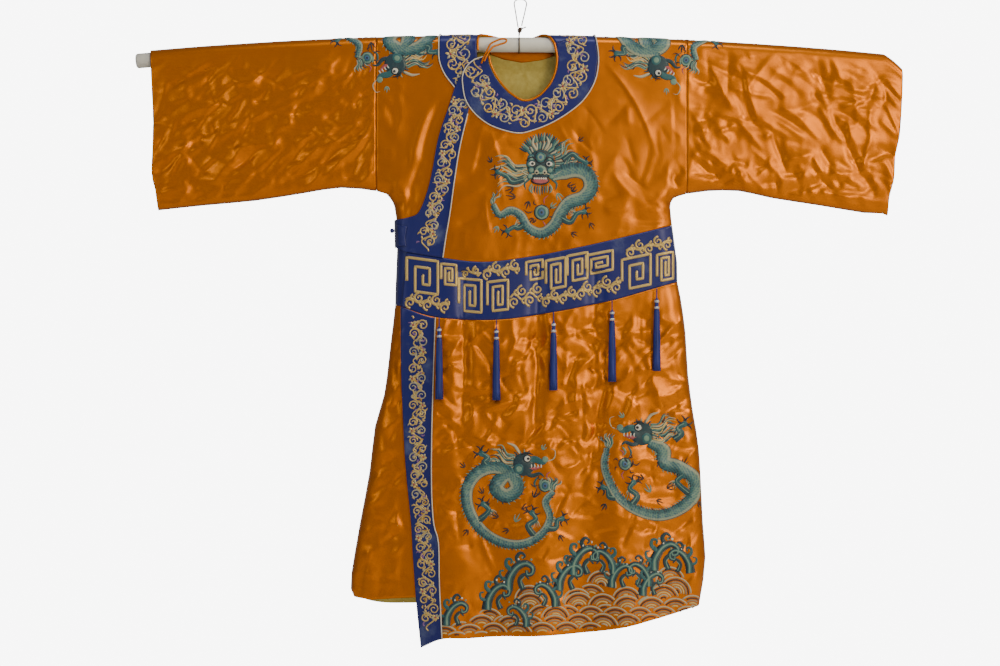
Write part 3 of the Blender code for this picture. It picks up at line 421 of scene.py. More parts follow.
def value_noise(points, spacing, seed):
    """Random heights on a square lattice, -1 to 1, joined by smooth steps between its corners."""
    rng = np.random.default_rng(seed)
    lattice = rng.uniform(-1, 1, (260, 260))
    place = points / spacing + 90.37
    cell = np.floor(place).astype(int) % 258
    part = place - np.floor(place)
    part = part * part * (3 - 2 * part)
    u, v = part[..., 0], part[..., 1]
    i, j = cell[..., 0], cell[..., 1]
    low = lattice[i, j] * (1 - u) + lattice[i + 1, j] * u
    high = lattice[i, j + 1] * (1 - u) + lattice[i + 1, j + 1] * u
    return low * (1 - v) + high * v


def strewn_rows(rng):
    """The strewn creases as rows like CREASES, each with its side of the robe; the back has its own."""
    made = []
    for way in (1, -1):
        for x0, z0, x1, z1, count, long, wide, high, angle, spread in STREWN:
            for _ in range(count if way > 0 else count // 2):
                middle = np.array([rng.uniform(x0, x1), rng.uniform(z1, z0)])
                run = heading(angle + rng.normal() * spread)
                half = rng.uniform(*long) / 2 * run
                height = rng.uniform(*high) * (1 if rng.random() < 0.45 else -1)
                made.append((*(middle - half), *(middle + half), rng.uniform(*wide), height,
                        rng.uniform(-5, 5), way))
        if way < 0:
            made += [(*row[:5], row[5] * 0.7, row[6], way) for row in CREASES[::2]]
    return made + [(*row, 1) for row in CREASES]


def x_at(line, z):
    """Where a line from a table stands at a height; its rows run downwards."""
    return np.interp(-z, *(columns(line)[:, ::-1] * (-1, 1)).T)


def blurred(table, times):
    """A table averaged with its neighbours, times over."""
    for _ in range(times):
        table = (table + np.roll(table, 1, 0) + np.roll(table, -1, 0) + np.roll(table, 1, 1)
                + np.roll(table, -1, 1)) / 5
    return table


def fold_table():
    """Height of the folds over the whole cut, on a square table; stiff borders and bands damp them."""
    columns_x = np.arange(TABLE_LOW[0], TABLE_HIGH[0], CELL)
    rows_drop = np.arange(TABLE_LOW[1], TABLE_HIGH[1], CELL)
    points = np.stack(np.meshgrid(columns_x, rows_drop, indexing="ij"), axis=2)
    x, drop = points[..., 0], points[..., 1]
    front = drop > 0
    calm = (np.abs(x - 30) < 300) & (np.abs(drop) < 430)
    wrinkled = np.where(calm, 0.35, 1.0)
    height = 1.5 * value_noise(points, 70.0, 5) * wrinkled
    height += 1.5 * (0.5 - np.abs(value_noise(points + 31, 46.0, 6))) * wrinkled
    height += 0.8 * (0.5 - np.abs(value_noise(points + 77, 22.0, 7))) * wrinkled
    rng = np.random.default_rng(20)
    for x0, z0, x1, z1, width, tall, bow, way in strewn_rows(rng):
        start, end = to_cut([(x0, z0), (x1, z1)], way)
        reach = 3.2 * width * 1.25 + abs(bow) + 6
        low = np.floor((np.minimum(start, end) - reach - TABLE_LOW) / CELL).astype(int).clip(0)
        high = np.ceil((np.maximum(start, end) + reach - TABLE_LOW) / CELL).astype(int).clip(1)
        window = np.s_[low[0]:high[0], low[1]:high[1]]
        part = points[window]
        if part.size:
            height[window] += crease_height(part, start, end, width, tall,
                    bow * way) * ((part[..., 1] > 0) == (way > 0))
    z = QUARTER + crest_z(x) - np.abs(drop)
    stiff = np.zeros_like(height)
    reach = np.hypot(x - NECK[0], drop - NECK[1])
    stiff[(reach < 172) & (reach > 60)] = 1
    band = (z < np.interp(x, *columns(BAND_TOP).T)) & (z > np.interp(x,
            *columns(BAND_BOTTOM).T)) & (np.abs(x - 30) < 310)
    stiff[band] = 1
    stiff[front & (z < -660) & (x < x_at(SKIRT_INNER, z)) & (x > -256)] = 0.75
    stiff[front & (z < -169) & (z > -560) & (x < x_at(LAPEL_INNER, z)) & (x > x_at(LAPEL_EDGE, z))] = 0.85
    softened = 1 - 0.8 * blurred(stiff, 8)
    crest = np.clip((np.abs(drop) - QUARTER + 14) / 60, 0.12, 1)
    return np.clip(height * softened * crest, -8.5, 7.0)


FOLDS = fold_table()


def folds(cut):
    """The fold height at points of the cut, between the four nearest places of the table."""
    place = (cut - TABLE_LOW) / CELL
    place = np.clip(place, 0, np.array(FOLDS.shape) - 1.001)
    cell = place.astype(int)
    u, v = (place - cell).T
    i, j = cell.T
    return ((FOLDS[i, j] * (1 - v) + FOLDS[i, j + 1] * v) * (1 - u)
            + (FOLDS[i + 1, j] * (1 - v) + FOLDS[i + 1, j + 1] * v) * u)


def surface(cut, height, lifted):
    """Points and normals, in millimetres, at a height over the folded cloth."""
    base, normal = shell(cut)
    share, _ = edge_share(base[:, ::2])
    raised = height + folds(cut) * np.clip(share * 2.4, 0, 1) * bpy.context.scene.dragon_robe.fold_strength
    if lifted:
        raised = raised + overlap_lift(cut)
    return base + np.multiply(normal.T, raised).T, normal


# ---------------------------------------------------------------- making meshes
def on_body(made):
    """Puts an object into the scene, riding on the robe's body."""
    bpy.context.scene.collection.objects.link(made)
    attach(made, "root")
    return made


def joined_solids(parts):
    """Several (points, faces) as one pair of arrays."""
    first = np.cumsum([0] + [len(p) for p, _ in parts[:-1]])
    return np.vstack([p for p, _ in parts]), np.vstack([f + n for (_, f), n in zip(parts, first)])


def solid_piece(name, parts, materials, face_material=None):
    """Closed shapes as one object; a face whose last two corners agree is written as a triangle."""
    points, faces = joined_solids(parts)
    mesh = bpy.data.meshes.new(name)
    triangle = faces[:, 2] == faces[:, 3]
    sides = np.where(triangle, 3, 4)
    kept = np.ones_like(faces, bool)
    kept[:, 3] = ~triangle
    mesh.vertices.add(len(points))
    mesh.vertices.foreach_set("co", (points * MM).ravel())
    loops = faces[kept]
    mesh.loops.add(len(loops))
    mesh.loops.foreach_set("vertex_index", loops)
    mesh.polygons.add(len(faces))
    mesh.polygons.foreach_set("loop_start", np.concatenate([[0], np.cumsum(sides)[:-1]]))
    mesh.polygons.foreach_set("use_smooth", np.ones(len(faces), bool))
    for material in materials:
        mesh.materials.append(material)
    if face_material is not None:
        mesh.polygons.foreach_set("material_index", face_material)
    mesh.update(calc_edges=True)
    return on_body(bpy.data.objects.new(name, mesh))


def wall_faces(rings, sides, closed=False):
    """Four-sided faces between rings of points that are numbered one ring after another."""
    i, j = np.meshgrid(np.arange(rings if closed else rings - 1), np.arange(sides), indexing="ij")
    after, beside = (i + 1) % rings, (j + 1) % sides
    return np.stack([i * sides + j, i * sides + beside, after * sides + beside, after * sides + j],
            -1).reshape(-1, 4)


def cap_faces(rings, sides):
    """Fans over the first and last ring, round two more points that are numbered after the rings."""
    j, beside = np.arange(sides), (np.arange(sides) + 1) % sides
    first, last = np.full(sides, rings * sides), np.full(sides, rings * sides + 1)
    final = (rings - 1) * sides
    return np.vstack([np.stack([beside, j, first, first], 1),
            np.stack([final + j, final + beside, last, last], 1)])


def length_of(line):
    return np.linalg.norm(np.diff(line, axis=0), axis=1).sum()


def run_along(line):
    """How far along a line each of its points lies."""
    return np.concatenate([[0], np.cumsum(np.linalg.norm(np.diff(line, axis=0), axis=1))])


def run_and_aside(line):
    """The direction of a line on the cut at each of its points, and the direction to its left."""
    run = np.gradient(line, axis=0)
    run /= np.maximum(np.linalg.norm(run, axis=1), 1e-9)[:, None]
    return run, np.stack([-run[:, 1], run[:, 0]], axis=1)


def at_shares(line, shares):
    """Points at shares of the length along a polyline."""
    run = run_along(line)
    return np.stack([np.interp(shares * run[-1], run, line[:, i]) for i in range(line.shape[1])], axis=1)


def patch(top, bottom, left, right, across, down):
    """A grid between four edges: (1-v) top + v bottom + (1-u) left + u right less the corners' blend."""
    u, v = np.linspace(0, 1, across), np.linspace(0, 1, down)
    top, bottom, left, right = (at_shares(np.asarray(e, float), s) for e,
            s in ((top, u), (bottom, u), (left, v), (right, v)))
    u, v = u[None, :, None], v[:, None, None]
    corners = ((1 - u) * (1 - v) * top[0] + u * (1 - v) * top[-1] + (1 - u) * v * bottom[0] + u * v
            * bottom[-1])
    return (1 - v) * top[None] + v * bottom[None] + (1 - u) * left[:, None] + u * right[:, None] - corners


def joined(grids):
    """Several grids of cut points as one set of points and four-sided faces, welded where they meet."""
    points, faces, first = [], [], 0
    for grid in grids:
        rows, cols = grid.shape[:2]
        index = np.arange(rows * cols).reshape(rows, cols) + first
        quads = np.stack([index[:-1, :-1], index[:-1, 1:], index[1:, 1:], index[1:, :-1]],
                axis=-1).reshape(-1, 4)
        points.append(grid.reshape(-1, 2))
        faces.append(quads)
        first += rows * cols
    points, faces = np.vstack(points), np.vstack(faces)
    _, where, index = np.unique(np.round(points * 50).astype(int), axis=0, return_index=True,
            return_inverse=True)
    points, faces = points[where], index.reshape(-1)[faces]
    a, b, c, d = (points[faces[:, i]] for i in range(4))
    turn = (c - a)[:, 0] * (d - b)[:, 1] - (c - a)[:, 1] * (d - b)[:, 0]
    faces = np.where((turn < 0)[:, None], faces, faces[:, ::-1])
    return points, faces


def free_edges(faces):
    """Edges that only one face has, in that face's direction."""
    ends = np.concatenate([np.stack([faces[:, i], faces[:, (i + 1) % faces.shape[1]]], axis=1)
            for i in range(faces.shape[1])])
    ends = ends[ends[:, 0] != ends[:, 1]]
    size = ends.max() + 1
    forward, backward = ends[:, 0] * size + ends[:, 1], ends[:, 1] * size + ends[:, 0]
    return ends[~np.isin(forward, backward)]


def slab(name, grids, outer, thickness, outside, inside=None, lifted=False):
    """A closed wall of cloth over grids of the cut: its outer face, its inner face and the rim between."""
    cut, faces = joined(grids)
    top, normal = surface(cut, outer, lifted)
    rim = free_edges(faces)
    along = top[rim[:, 1]] - top[rim[:, 0]]
    setback = np.zeros_like(top)
    for end in rim.T:
        across = np.cross(normal[end], along)
        np.add.at(setback, end, across / np.maximum(np.linalg.norm(across, axis=1), 1e-6)[:, None])
    top = top + SEAM_SETBACK * setback / np.maximum(np.linalg.norm(setback, axis=1), 1.0)[:, None]
    low = top - thickness * normal
    count = len(cut)
    walls = np.stack([rim[:, 1], rim[:, 0], rim[:, 0] + count, rim[:, 1] + count], axis=1)
    every = np.vstack([faces, faces[:, ::-1] + count, walls])
    slot_of = np.repeat([0, 1, 0], [len(faces), len(faces), len(walls)])
    made = solid_piece(name, [(np.vstack([top, low]), every)], [outside, inside or outside], slot_of)
    return made, cut, faces


# ---------------------------------------------------------------- edges of the pieces on the flat cut
SMOOTH_STEP = 12.0


def side_run(name, way, z_from=None, z_to=None):
    """The side seam as cut points, from the underarm or a height, down to a height or the hem."""
    line = SIDES[name]
    first = np.linalg.norm(line - UNDERARM[name], axis=1).argmin()
    below = line[first:, 1]
    start = 0 if z_from is None else np.abs(below - z_from).argmin()
    stop = len(below) if z_to is None else np.abs(below - z_to).argmin() + 1
    return to_cut(line[first + start:first + stop], way)


def armhole(name, way):
    """The sleeve seam from the shoulder fold to the underarm."""
    return straight([(SEAMS[name], 0), to_cut([UNDERARM[name]], way)[0]], 20)


def split_at_crest(line):
    """The part of a line in front of the crest and the part behind it, each starting on the crest."""
    side = line[:, 1] > 0
    turn = np.nonzero(side[1:] != side[:-1])[0][0]
    a, b = line[turn], line[turn + 1]
    meet = a + (b - a) * (-a[1] / (b[1] - a[1]))
    meet[1] = 0.0
    first, second = np.vstack([meet, line[:turn + 1][::-1]]), np.vstack([meet, line[turn + 1:]])
    return (first, second) if side[0] else (second, first)


def sleeve_grids(name, front_step, back_step):
    """Front and back of a sleeve, from the shoulder fold down to its underside."""
    cuff_table = {"left": LEFT_CUFF, "right": RIGHT_CUFF}[name]
    line = SIDES[name]
    last = np.linalg.norm(line - UNDERARM[name], axis=1).argmin()
    grids = []
    for way, step in ((1, front_step), (-1, back_step)):
        cuff = smooth(np.vstack([[(cuff_table[0][0], 0)], to_cut([*cuff_table[1:], line[0]], way)]),
                SMOOTH_STEP)
        fold = np.array([cuff[0], (SEAMS[name], 0)])
        grids.append(patch(fold, to_cut(line[:last + 1], way), cuff, armhole(name, way),
                round(480 / front_step), round(325 / step)))
    return grids


def hung(rows, way=1):
    """A smooth edge from a table of (x, z), on the flat cut."""
    return smooth(to_cut(rows, way), SMOOTH_STEP)


def edges():
    """The named edges that the pieces share."""
    rings = {"in": ring_edge(FRONT_RING, 1), "out": ring_edge(FRONT_RING, 2),
            "far_in": ring_edge(BACK_RING, 1), "far_out": ring_edge(BACK_RING, 2)}
    angle = columns(BACK_RING)[:, 0]
    return rings | {
        "neck_left": rings["far_in"][angle <= 270], "neck_right": rings["far_in"][angle >= 270],
        "under_lapel": rings["out"][columns(FRONT_RING)[:, 0] >= 161][::-1],
        "band_top": hung(BAND_TOP), "band_bottom": hung(BAND_BOTTOM),
        "under_top": straight(to_cut(UNDER_BAND_TOP), 12),
            "under_bottom": straight(to_cut(UNDER_BAND_BOTTOM), 12),
        "back_top": hung(BACK_BAND_TOP, -1),
        "back_bottom": hung(BACK_BAND_BOTTOM, -1),
        "lapel": hung(LAPEL_EDGE), "lapel_inner": hung(LAPEL_INNER),
        "skirt": hung(SKIRT_EDGE), "skirt_inner": hung(SKIRT_INNER),
        "front_hem": hung(FRONT_HEM), "back_hem": hung(BACK_HEM, -1),
        "under_inner": hung(UNDER_INNER),
        "under_skirt_inner": hung(UNDER_SKIRT_INNER),
        "under_hem": straight(to_cut(UNDER_HEM), 12),
    }


def cut_between(line, axis, low, high):
    """The part of a line between two values of one coordinate, its ends worked out."""
    order = line if line[0, axis] < line[-1, axis] else line[::-1]
    kept = order[(order[:, axis] > low) & (order[:, axis] < high)]
    other = 1 - axis
    ends = [np.insert([v], other, np.interp(v, order[:, axis], order[:, other])) for v in
            (max(low, order[0, axis]), min(high, order[-1, axis]))]
    return np.vstack([ends[0], kept, ends[1]])


def body_left_grids(edge, step, back_step):
    front_neck, back_neck = split_at_crest(edge["neck_left"])
    fold = np.array([(SEAMS["left"], 0), front_neck[0]])
    across = round(215 / step)
    left = np.vstack([armhole("left", 1), side_run("left", 1, None, -533)[1:]])
    front = patch(fold, edge["under_top"], left, np.vstack([front_neck, edge["under_inner"]]), across,
            round(450 / step))
    foot = cut_between(edge["back_top"], 0, -1e3, CENTRE_BACK)
    left = np.vstack([armhole("left", -1), side_run("left", -1, None, -533)[1:]])
    right = np.vstack([back_neck, straight([back_neck[-1], foot[-1]], 12)[1:]])
    return [front, patch(fold, foot, left, right, across, round(450 / back_step))]


def body_right_grids(edge, step, back_step):
    right_front, right_back = split_at_crest(edge["neck_right"])
    fold = np.array([right_front[0], (SEAMS["right"], 0)])
    inner = np.vstack([right_front, edge["in"][1:]])
    last = np.vstack([inner[-1:], edge["under_lapel"], edge["lapel"][1:]])
    outer = np.vstack([armhole("right", 1), side_run("right", 1, None, -485)[1:], edge["band_top"][::-1][1:],
            side_run("left", 1, -473, -533)[::-1]])
    across = round(304 / step)
    fan = patch(inner, outer, fold, last, round(1060 / step), across)
    foot = cut_between(edge["back_top"], 0, CENTRE_BACK, 1e3)
    left = np.vstack([right_back, straight([right_back[-1], foot[0]], 12)[1:]])
    right = np.vstack([armhole("right", -1), side_run("right", -1, None, -485)[1:]])
    return [fan, patch(fold, foot, left, right, across, round(440 / back_step))]


def four_sided(top, bottom, left, right, step):
    """One grid between four edges, with its spacing near step both ways."""
    across, down = (max(3, round(max(length_of(a), length_of(b)) / step)) for a,
            b in ((top, bottom), (left, right)))
    return [patch(top, bottom, left, right, across, down)]


def cloth_pieces(edge, step, back_step):
    """Name, grids, height of the outer face, thickness, cloth, lining, rides on the crossing front."""
    on_front = GAP + TRIM
    lining_side = (LINING_INSET, 0)
    lining_hem = smooth(to_cut(BACK_HEM[1:-1], -1) + (0, 4), SMOOTH_STEP)
    lining_left = side_run("left", -1)[1:-2] + lining_side
    lining_right = side_run("right", -1)[1:-2] - lining_side
    lining_top = hung(LINING_TOP, -1)
    facing = to_cut(FACING_EDGE, -1)
    tie = to_cut(SIDE_TIE)
    left_end = edge["band_top"][:1]
    lapel_foot = cut_between(edge["band_top"], 0, -1e3, -164)
    lapel_side = np.vstack([edge["lapel"], side_run("left", 1, -473, -533)[1:], left_end])
    inner = edge["lapel_inner"]
    ring_meet = np.hypot(*(inner - NECK).T)
    inner = inner[ring_meet > 158]
    lapel_top = at_shares(edge["out"][columns(FRONT_RING)[:, 0] >= 134][::-1], np.linspace(0, 1, 12))
    lapel_top = lapel_top[(lapel_top[:, 0] > edge["lapel"][0, 0]) & (lapel_top[:, 0] < inner[0, 0])]
    lapel_top = np.vstack([edge["lapel"][:1], lapel_top, inner[:1]])
    satin, band, border = ((0, SATIN, "orange_satin", "yellow_lining"), (0, SATIN, "blue_satin", None),
            (on_front, TRIM, "blue_satin", None))

    def closing(outer, inner_edge, k):
        return np.vstack([edge[outer][k], edge[inner_edge][k]])
    return [
        ("body_left", body_left_grids(edge, step * 1.25, back_step), *satin, False),
        ("body_right", body_right_grids(edge, step * 1.1, back_step), *satin, True),
        ("sleeve_left", sleeve_grids("left", step, back_step), *satin, False),
        ("sleeve_right", sleeve_grids("right", step, back_step), *satin, False),
        ("skirt_front", four_sided(edge["band_bottom"], edge["front_hem"], edge["skirt"],
            side_run("right", 1, -606), step), *satin, True),
        ("skirt_under", four_sided(edge["under_bottom"], edge["under_hem"], side_run("left", 1, -656),
            edge["under_skirt_inner"], step * 1.3), *satin, False),
        ("skirt_back", four_sided(edge["back_bottom"], edge["back_hem"], side_run("left", -1, -656),
            side_run("right", -1, -606), back_step), *satin, False),
        ("waistband_front",
         four_sided(edge["band_top"], edge["band_bottom"], np.vstack([left_end, edge["band_bottom"][:1]]),
            side_run("right", 1, -485, -606), step), *band, True),
        ("waistband_under",
         four_sided(edge["under_top"], edge["under_bottom"], side_run("left", 1, -533, -656),
            closing("under_top", "under_bottom", -1), step * 1.5),
         *band, False),
        ("waistband_back", four_sided(edge["back_top"], edge["back_bottom"], side_run("left", -1, -533, -656),
            side_run("right", -1, -485, -606), back_step), *band, False),
        ("collar_front", four_sided(edge["out"], edge["in"], closing("out", "in", 0),
            closing("out", "in", -1), step * 0.9),
         *border, True),
        ("collar_back", four_sided(edge["far_out"], edge["far_in"], closing("far_out", "far_in", 0),
            closing("far_out", "far_in", -1), step * 0.9),
         *border, False),
        ("lapel_border", four_sided(lapel_top, lapel_foot, lapel_side, inner, step), *border, True),
        ("skirt_border",
         four_sided(cut_between(edge["band_bottom"], 0, -1e3, -180),
            cut_between(edge["front_hem"], 0, -1e3, -164.5),
            edge["skirt"], edge["skirt_inner"], step), *border, True),
        ("back_lining",
         four_sided(lining_top, lining_hem, np.vstack([lining_top[:1], lining_left, lining_hem[:1]]),
            np.vstack([lining_top[-1:], lining_right, lining_hem[-1:]]), back_step * 1.8),
         -SATIN - GAP, LINING, "yellow_lining", None, False),
        ("neck_facing",
         four_sided(facing[:4], facing[[7, 6, 5, 4]], facing[[0, 7]], facing[[3, 4]], step * 1.5),
         -SATIN - LINING - 2 * GAP, FACING, "orange_satin", None, False),
        ("side_tie", four_sided(tie[:2], tie[[4, 3]], tie[[0, 4]], tie[1:4], step * 0.8),
         on_front + GAP + 2.4, 2.4,
         "blue_satin", None, True),
    ]


# ---------------------------------------------------------------- rolls, cords and the pole
def frame_along(path, closed=False):
    """Directions along and across a path, the first carried along it, for the rings of a tube."""
    run = np.roll(path, -1, 0) - np.roll(path, 1, 0) if closed else np.gradient(path, axis=0)
    run /= np.linalg.norm(run, axis=1)[:, None]
    start = np.cross(run[0], (0, 1, 0) if abs(run[0][1]) < 0.9 else (1, 0, 0))
    across = [start / np.linalg.norm(start)]
    for r in run[1:]:
        carried = across[-1] - (across[-1] @ r) * r
        across.append(carried / np.linalg.norm(carried))
    across = np.array(across)
    return run, across, np.cross(run, across)


def tube(path, radii, sides, closed=False, grooves=0, pitch=9.0, depth=0.1):
    """Rings of radius r (1 - depth + 2 depth |cos(grooves / 2 (a - 2 pi s / pitch))|), s along a path."""
    p = columns(path)
    _, across, third = frame_along(p, closed)
    angle = np.arange(sides) * 2 * math.pi / sides
    radius = np.broadcast_to(np.asarray(radii, float), (len(p),))[:, None] * np.ones(sides)
    if grooves:
        s = run_along(p)
        radius = radius * (1 - depth + depth
                * np.abs(np.cos(grooves / 2 * (angle - 2 * math.pi * s[:, None] / pitch))) * 2)
    rings = p[:, None] + radius[...,
            None] * (across[:, None] * np.cos(angle)[:, None] + third[:, None] * np.sin(angle)[:, None])
    count = len(p)
    points, faces = rings.reshape(-1, 3), wall_faces(count, sides, closed)
    if closed:
        return points, faces
    return np.vstack([points, p[:1], p[-1:]]), np.vstack([faces, cap_faces(count, sides)])


def laid_path(runs, height, aside=0.0, step=4.0):
    """A path over the folded cloth along lines of the cut, at a height, and aside to its right."""
    made = []
    for line, lifted in runs:
        fine = at_shares(line, np.linspace(0, 1, round(length_of(line) / step)))
        points, normal = surface(fine, height, lifted)
        made.append(np.hstack([points, normal])[1 if made else 0:])
    path = np.vstack(made)
    across = np.cross(np.gradient(path[:, :3], axis=0), path[:, 3:])
    across /= np.linalg.norm(across, axis=1)[:, None]
    return path[:, :3] + aside * across


HANGING_ROUTE = [(-3.0, 0, -59.2), (-4.6, 0, -50), (-7.2, 0, -34), (-10.2, 0, -16), (-11.4, 0, -8),
        (-9.8, 0, -2.2),
        (-5, 0, 0.9), (0, 0, CORD_RADIUS), (6, 0, 1.1), (12, 0, -1.2), (15.2, 0, -7.5), (13.6, 0, -16),
        (9.6, 0, -34), (5.6, 0, -50), (4.6, 0.6, -55.6)]
COLLAR_LOOP = [(-82, -30.5, -140), (-77, -31, -127), (-70, -31, -113), (-63, -30, -99), (-52, -29, -92),
        (-38, -28, -87),
        (-28, -28, -89), (-31, -28.5, -95), (-43, -29, -99), (-56, -30.5, -104), (-64, -32, -113),
        (-70.5, -34.5, -124), (-76, -35.5, -136)]
KNOT = [(-0.6, 0, -71, 2.0), (-0.2, 0, -68, 4.2), (0.6, 0, -64.5, 5.2), (3.0, 0, -62, 4.0),
        (6.5, 0.4, -60.6, 1.6), (10.5, 0.8, -59.4, 1.3), (14.0, 1.0, -57.5, 1.3)]
BUTTON = [(0, 1.4), (1.0, 3.4), (3.5, 4.6), (6.5, 4.6), (9.0, 3.4), (10.0, 1.4)]
TASSEL_PROFILE = [(0, 1.1), (18, 1.1), (21, 2.2), (25, 4.4), (26.5, 5.4), (29, 5.4), (30, 4.2), (38.5, 4.2),
        (39.5, 5.6), (42.5, 5.6), (43.64, 4.6)]
TUFT_PROFILE = [(0, 4.4), (0.04, 5.6), (0.15, 6.2), (0.5, 7.2), (0.85, 8.0), (1.0, 8.3)]


def hanging_cord(material):
    """The loop of cord over the knot, as a round curve along its route."""
    route = smooth(HANGING_ROUTE, 4.0)
    curve = bpy.data.curves.new("hanging_cord", "CURVE")
    curve.dimensions = "3D"
    curve.bevel_depth = CORD_RADIUS * MM
    curve.bevel_resolution = 4
    curve.use_fill_caps = True
    spline = curve.splines.new("POLY")
    spline.points.add(len(route) - 1)
    spline.points.foreach_set("co", np.hstack([route * MM, np.ones((len(route), 1))]).ravel())
    curve.materials.append(material)
    made = on_body(bpy.data.objects.new("hanging_cord", curve))
    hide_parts("hanging_loop")
    return made


def cord_knots(material):
    """The ring tied round the pole, pressed thin under the cloth, and the knot over it."""
    angle = np.arange(72) * 2 * math.pi / 72
    cord = CORD_RADIUS - HITCH_SQUEEZE * np.clip(np.sin(angle) * 1.6, 0, 1)
    reach = POLE_RADIUS + 1.4 * GAP + cord
    ring = np.stack([np.full(72, -1.0), reach * np.sin(angle), pole_z(0) + reach * np.cos(angle)], axis=1)
    hitch = solid_piece("tied_ring", [tube(ring, cord, 12, closed=True)], [material])
    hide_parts("cord_hitch")
    table = smooth([(-1, 0, pole_z(0) + POLE_RADIUS + 2 * (GAP + CORD_RADIUS), 1.6), *KNOT], 0.8)
    knot = solid_piece("tied_knot", [tube(table[:, :3], table[:, 3], 18, grooves=2, pitch=5.0, depth=0.09)],
            [material])
    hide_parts("cord_knot")


def pole(material):
    """A round rod bent a little under the robe, with rounded ends."""
    x = np.linspace(*POLE_ENDS, 90)
    low, high = POLE_ENDS
    from_end, worn = np.array([0, 0.4, 1.2, 2.6, 5.0]), np.array([5.0, 3.4, 2.0, 0.9])
    x = np.concatenate([low + from_end, x[1:-1], high - from_end[::-1]])
    radii = np.full(len(x), POLE_RADIUS)
    radii[:4] -= worn
    radii[-4:] -= worn[::-1]
    path = np.stack([x, np.zeros_like(x), pole_z(x)], axis=1)
    made = solid_piece("hanging_pole", [tube(path, radii, 40)], [material])
    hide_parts("pole")


def rolls(cream, orange, blue):
    """Piping round the collar and down the borders, the roll round the neck, the loop and the button."""
    piped = TRIM + 2 * GAP + PIPING_RADIUS
    rings = (BACK_RING, False), (FRONT_RING, True)
    edge = edges()
    inner = edge["lapel_inner"]
    clear = inner[np.hypot(*(inner - NECK).T) > 160 + 3 * PIPING_RADIUS]
    lines = [("collar_piping", [(smooth(ring_edge(table, 2), 8), lifted) for table, lifted in rings]),
            ("lapel_piping", [(clear, True)]), ("skirt_border_piping", [(edge["skirt_inner"], True)])]
    for name, runs in lines:
        made = solid_piece(f"{name}_cord", [tube(laid_path(runs, piped), PIPING_RADIUS, 10)], [cream])
        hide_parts(name)
    neck = [(smooth(ring_edge(BACK_RING[3:], 1), 8), False), (smooth(ring_edge(FRONT_RING, 1), 8), True)]
    path = laid_path(neck, 0.8, ROLL_RADIUS + GAP + SEAM_SETBACK, 1.6)
    roll = solid_piece("neck_roll_cord", [tube(path, ROLL_RADIUS, 14, grooves=2, pitch=9.0, depth=0.12)],
            [orange])
    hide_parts("neck_roll")
    loop = smooth(COLLAR_LOOP, 2.0)
    fastening = solid_piece("collar_fastening", [tube(loop, 2.0, 12, grooves=2, pitch=7.0, depth=0.08)],
            [orange])
    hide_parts("collar_loop")
    button = smooth(BUTTON, 0.8)
    path = np.stack([np.full(len(button), -273.0), np.full(len(button), -20.5), -492 - button[:, 0]], axis=1)
    knob = solid_piece("side_knot_button", [tube(path, button[:, 1], 20, grooves=4, pitch=14.0, depth=0.08)],
            [blue])
    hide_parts("side_button")


def tassels(navy, silver):
    """Five tassels: a cord, a cap and two silver bands, and a tuft whose surface is drawn into strands."""
    heads, tufts, kinds = [], [], []
    head, tuft = smooth(TASSEL_PROFILE, 1.6), smooth(TUFT_PROFILE, 1.2)
    for x, top, foot in TASSELS:
        spots = np.array([(x + dx, h) for h in np.linspace(top, foot, 12) for dx in (-9, 0, 9)])
        base, _ = shell(to_cut(spots))
        y = base[:, 1].min() - overlap_lift(to_cut(spots)).max() - TRIM - GAP - 8.3 - TASSEL_CLEARANCE
        down = top - head[:, 0]
        path = np.stack([np.full(len(down), x), np.full(len(down), y), down], axis=1)
        points, faces = tube(path, head[:, 1], 20, grooves=6, pitch=600.0, depth=0.03)
        middle = top - points[faces].mean(axis=1)[:, 2]
        heads.append((points, faces))
        kinds.append(np.where(((middle > 25.5) & (middle < 30)) | (middle > 38.8), 1, 0))
        share = tuft[:, 0]
        tuft_top = top - TASSEL_HEAD
        path = np.stack([np.full(len(share), x), np.full(len(share), y),
                tuft_top + (foot - tuft_top) * share], axis=1)
        tufts.append(tube(path, tuft[:, 1], 48, grooves=24, pitch=1500.0, depth=0.06))
    made = solid_piece("tassel_heads", heads, [navy, silver], np.concatenate(kinds))
    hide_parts(*(f"tassel_{n}_head" for n in range(1, 6)))
    made = solid_piece("tassel_tufts", tufts, [navy])
    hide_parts(*(f"tassel_{n}_tuft" for n in range(1, 6)))


# ---------------------------------------------------------------- embroidery
# Floss colours
NIGHT, DEEP_TEAL, TEAL, MINT = (0.006, 0.010, 0.026), (0.008, 0.045, 0.070), (0.020, 0.125, 0.150), (0.19,
        0.33, 0.26)
CREAM, GOLD, PALE_GOLD, BROWN = (0.56, 0.50, 0.34), (0.60, 0.33, 0.05), (0.80, 0.56, 0.19), (0.070, 0.018,
        0.006)
ROSE, WHITE, TAUPE, SKY = (0.50, 0.10, 0.12), (0.80, 0.79, 0.72), (0.36, 0.26, 0.17), (0.05, 0.13, 0.30)
UNDERSIDE = -0.3               # how far a stitch's underside lies in the cloth
EDGE_SPARE = 3.0               # embroidery stops this far from the side seam


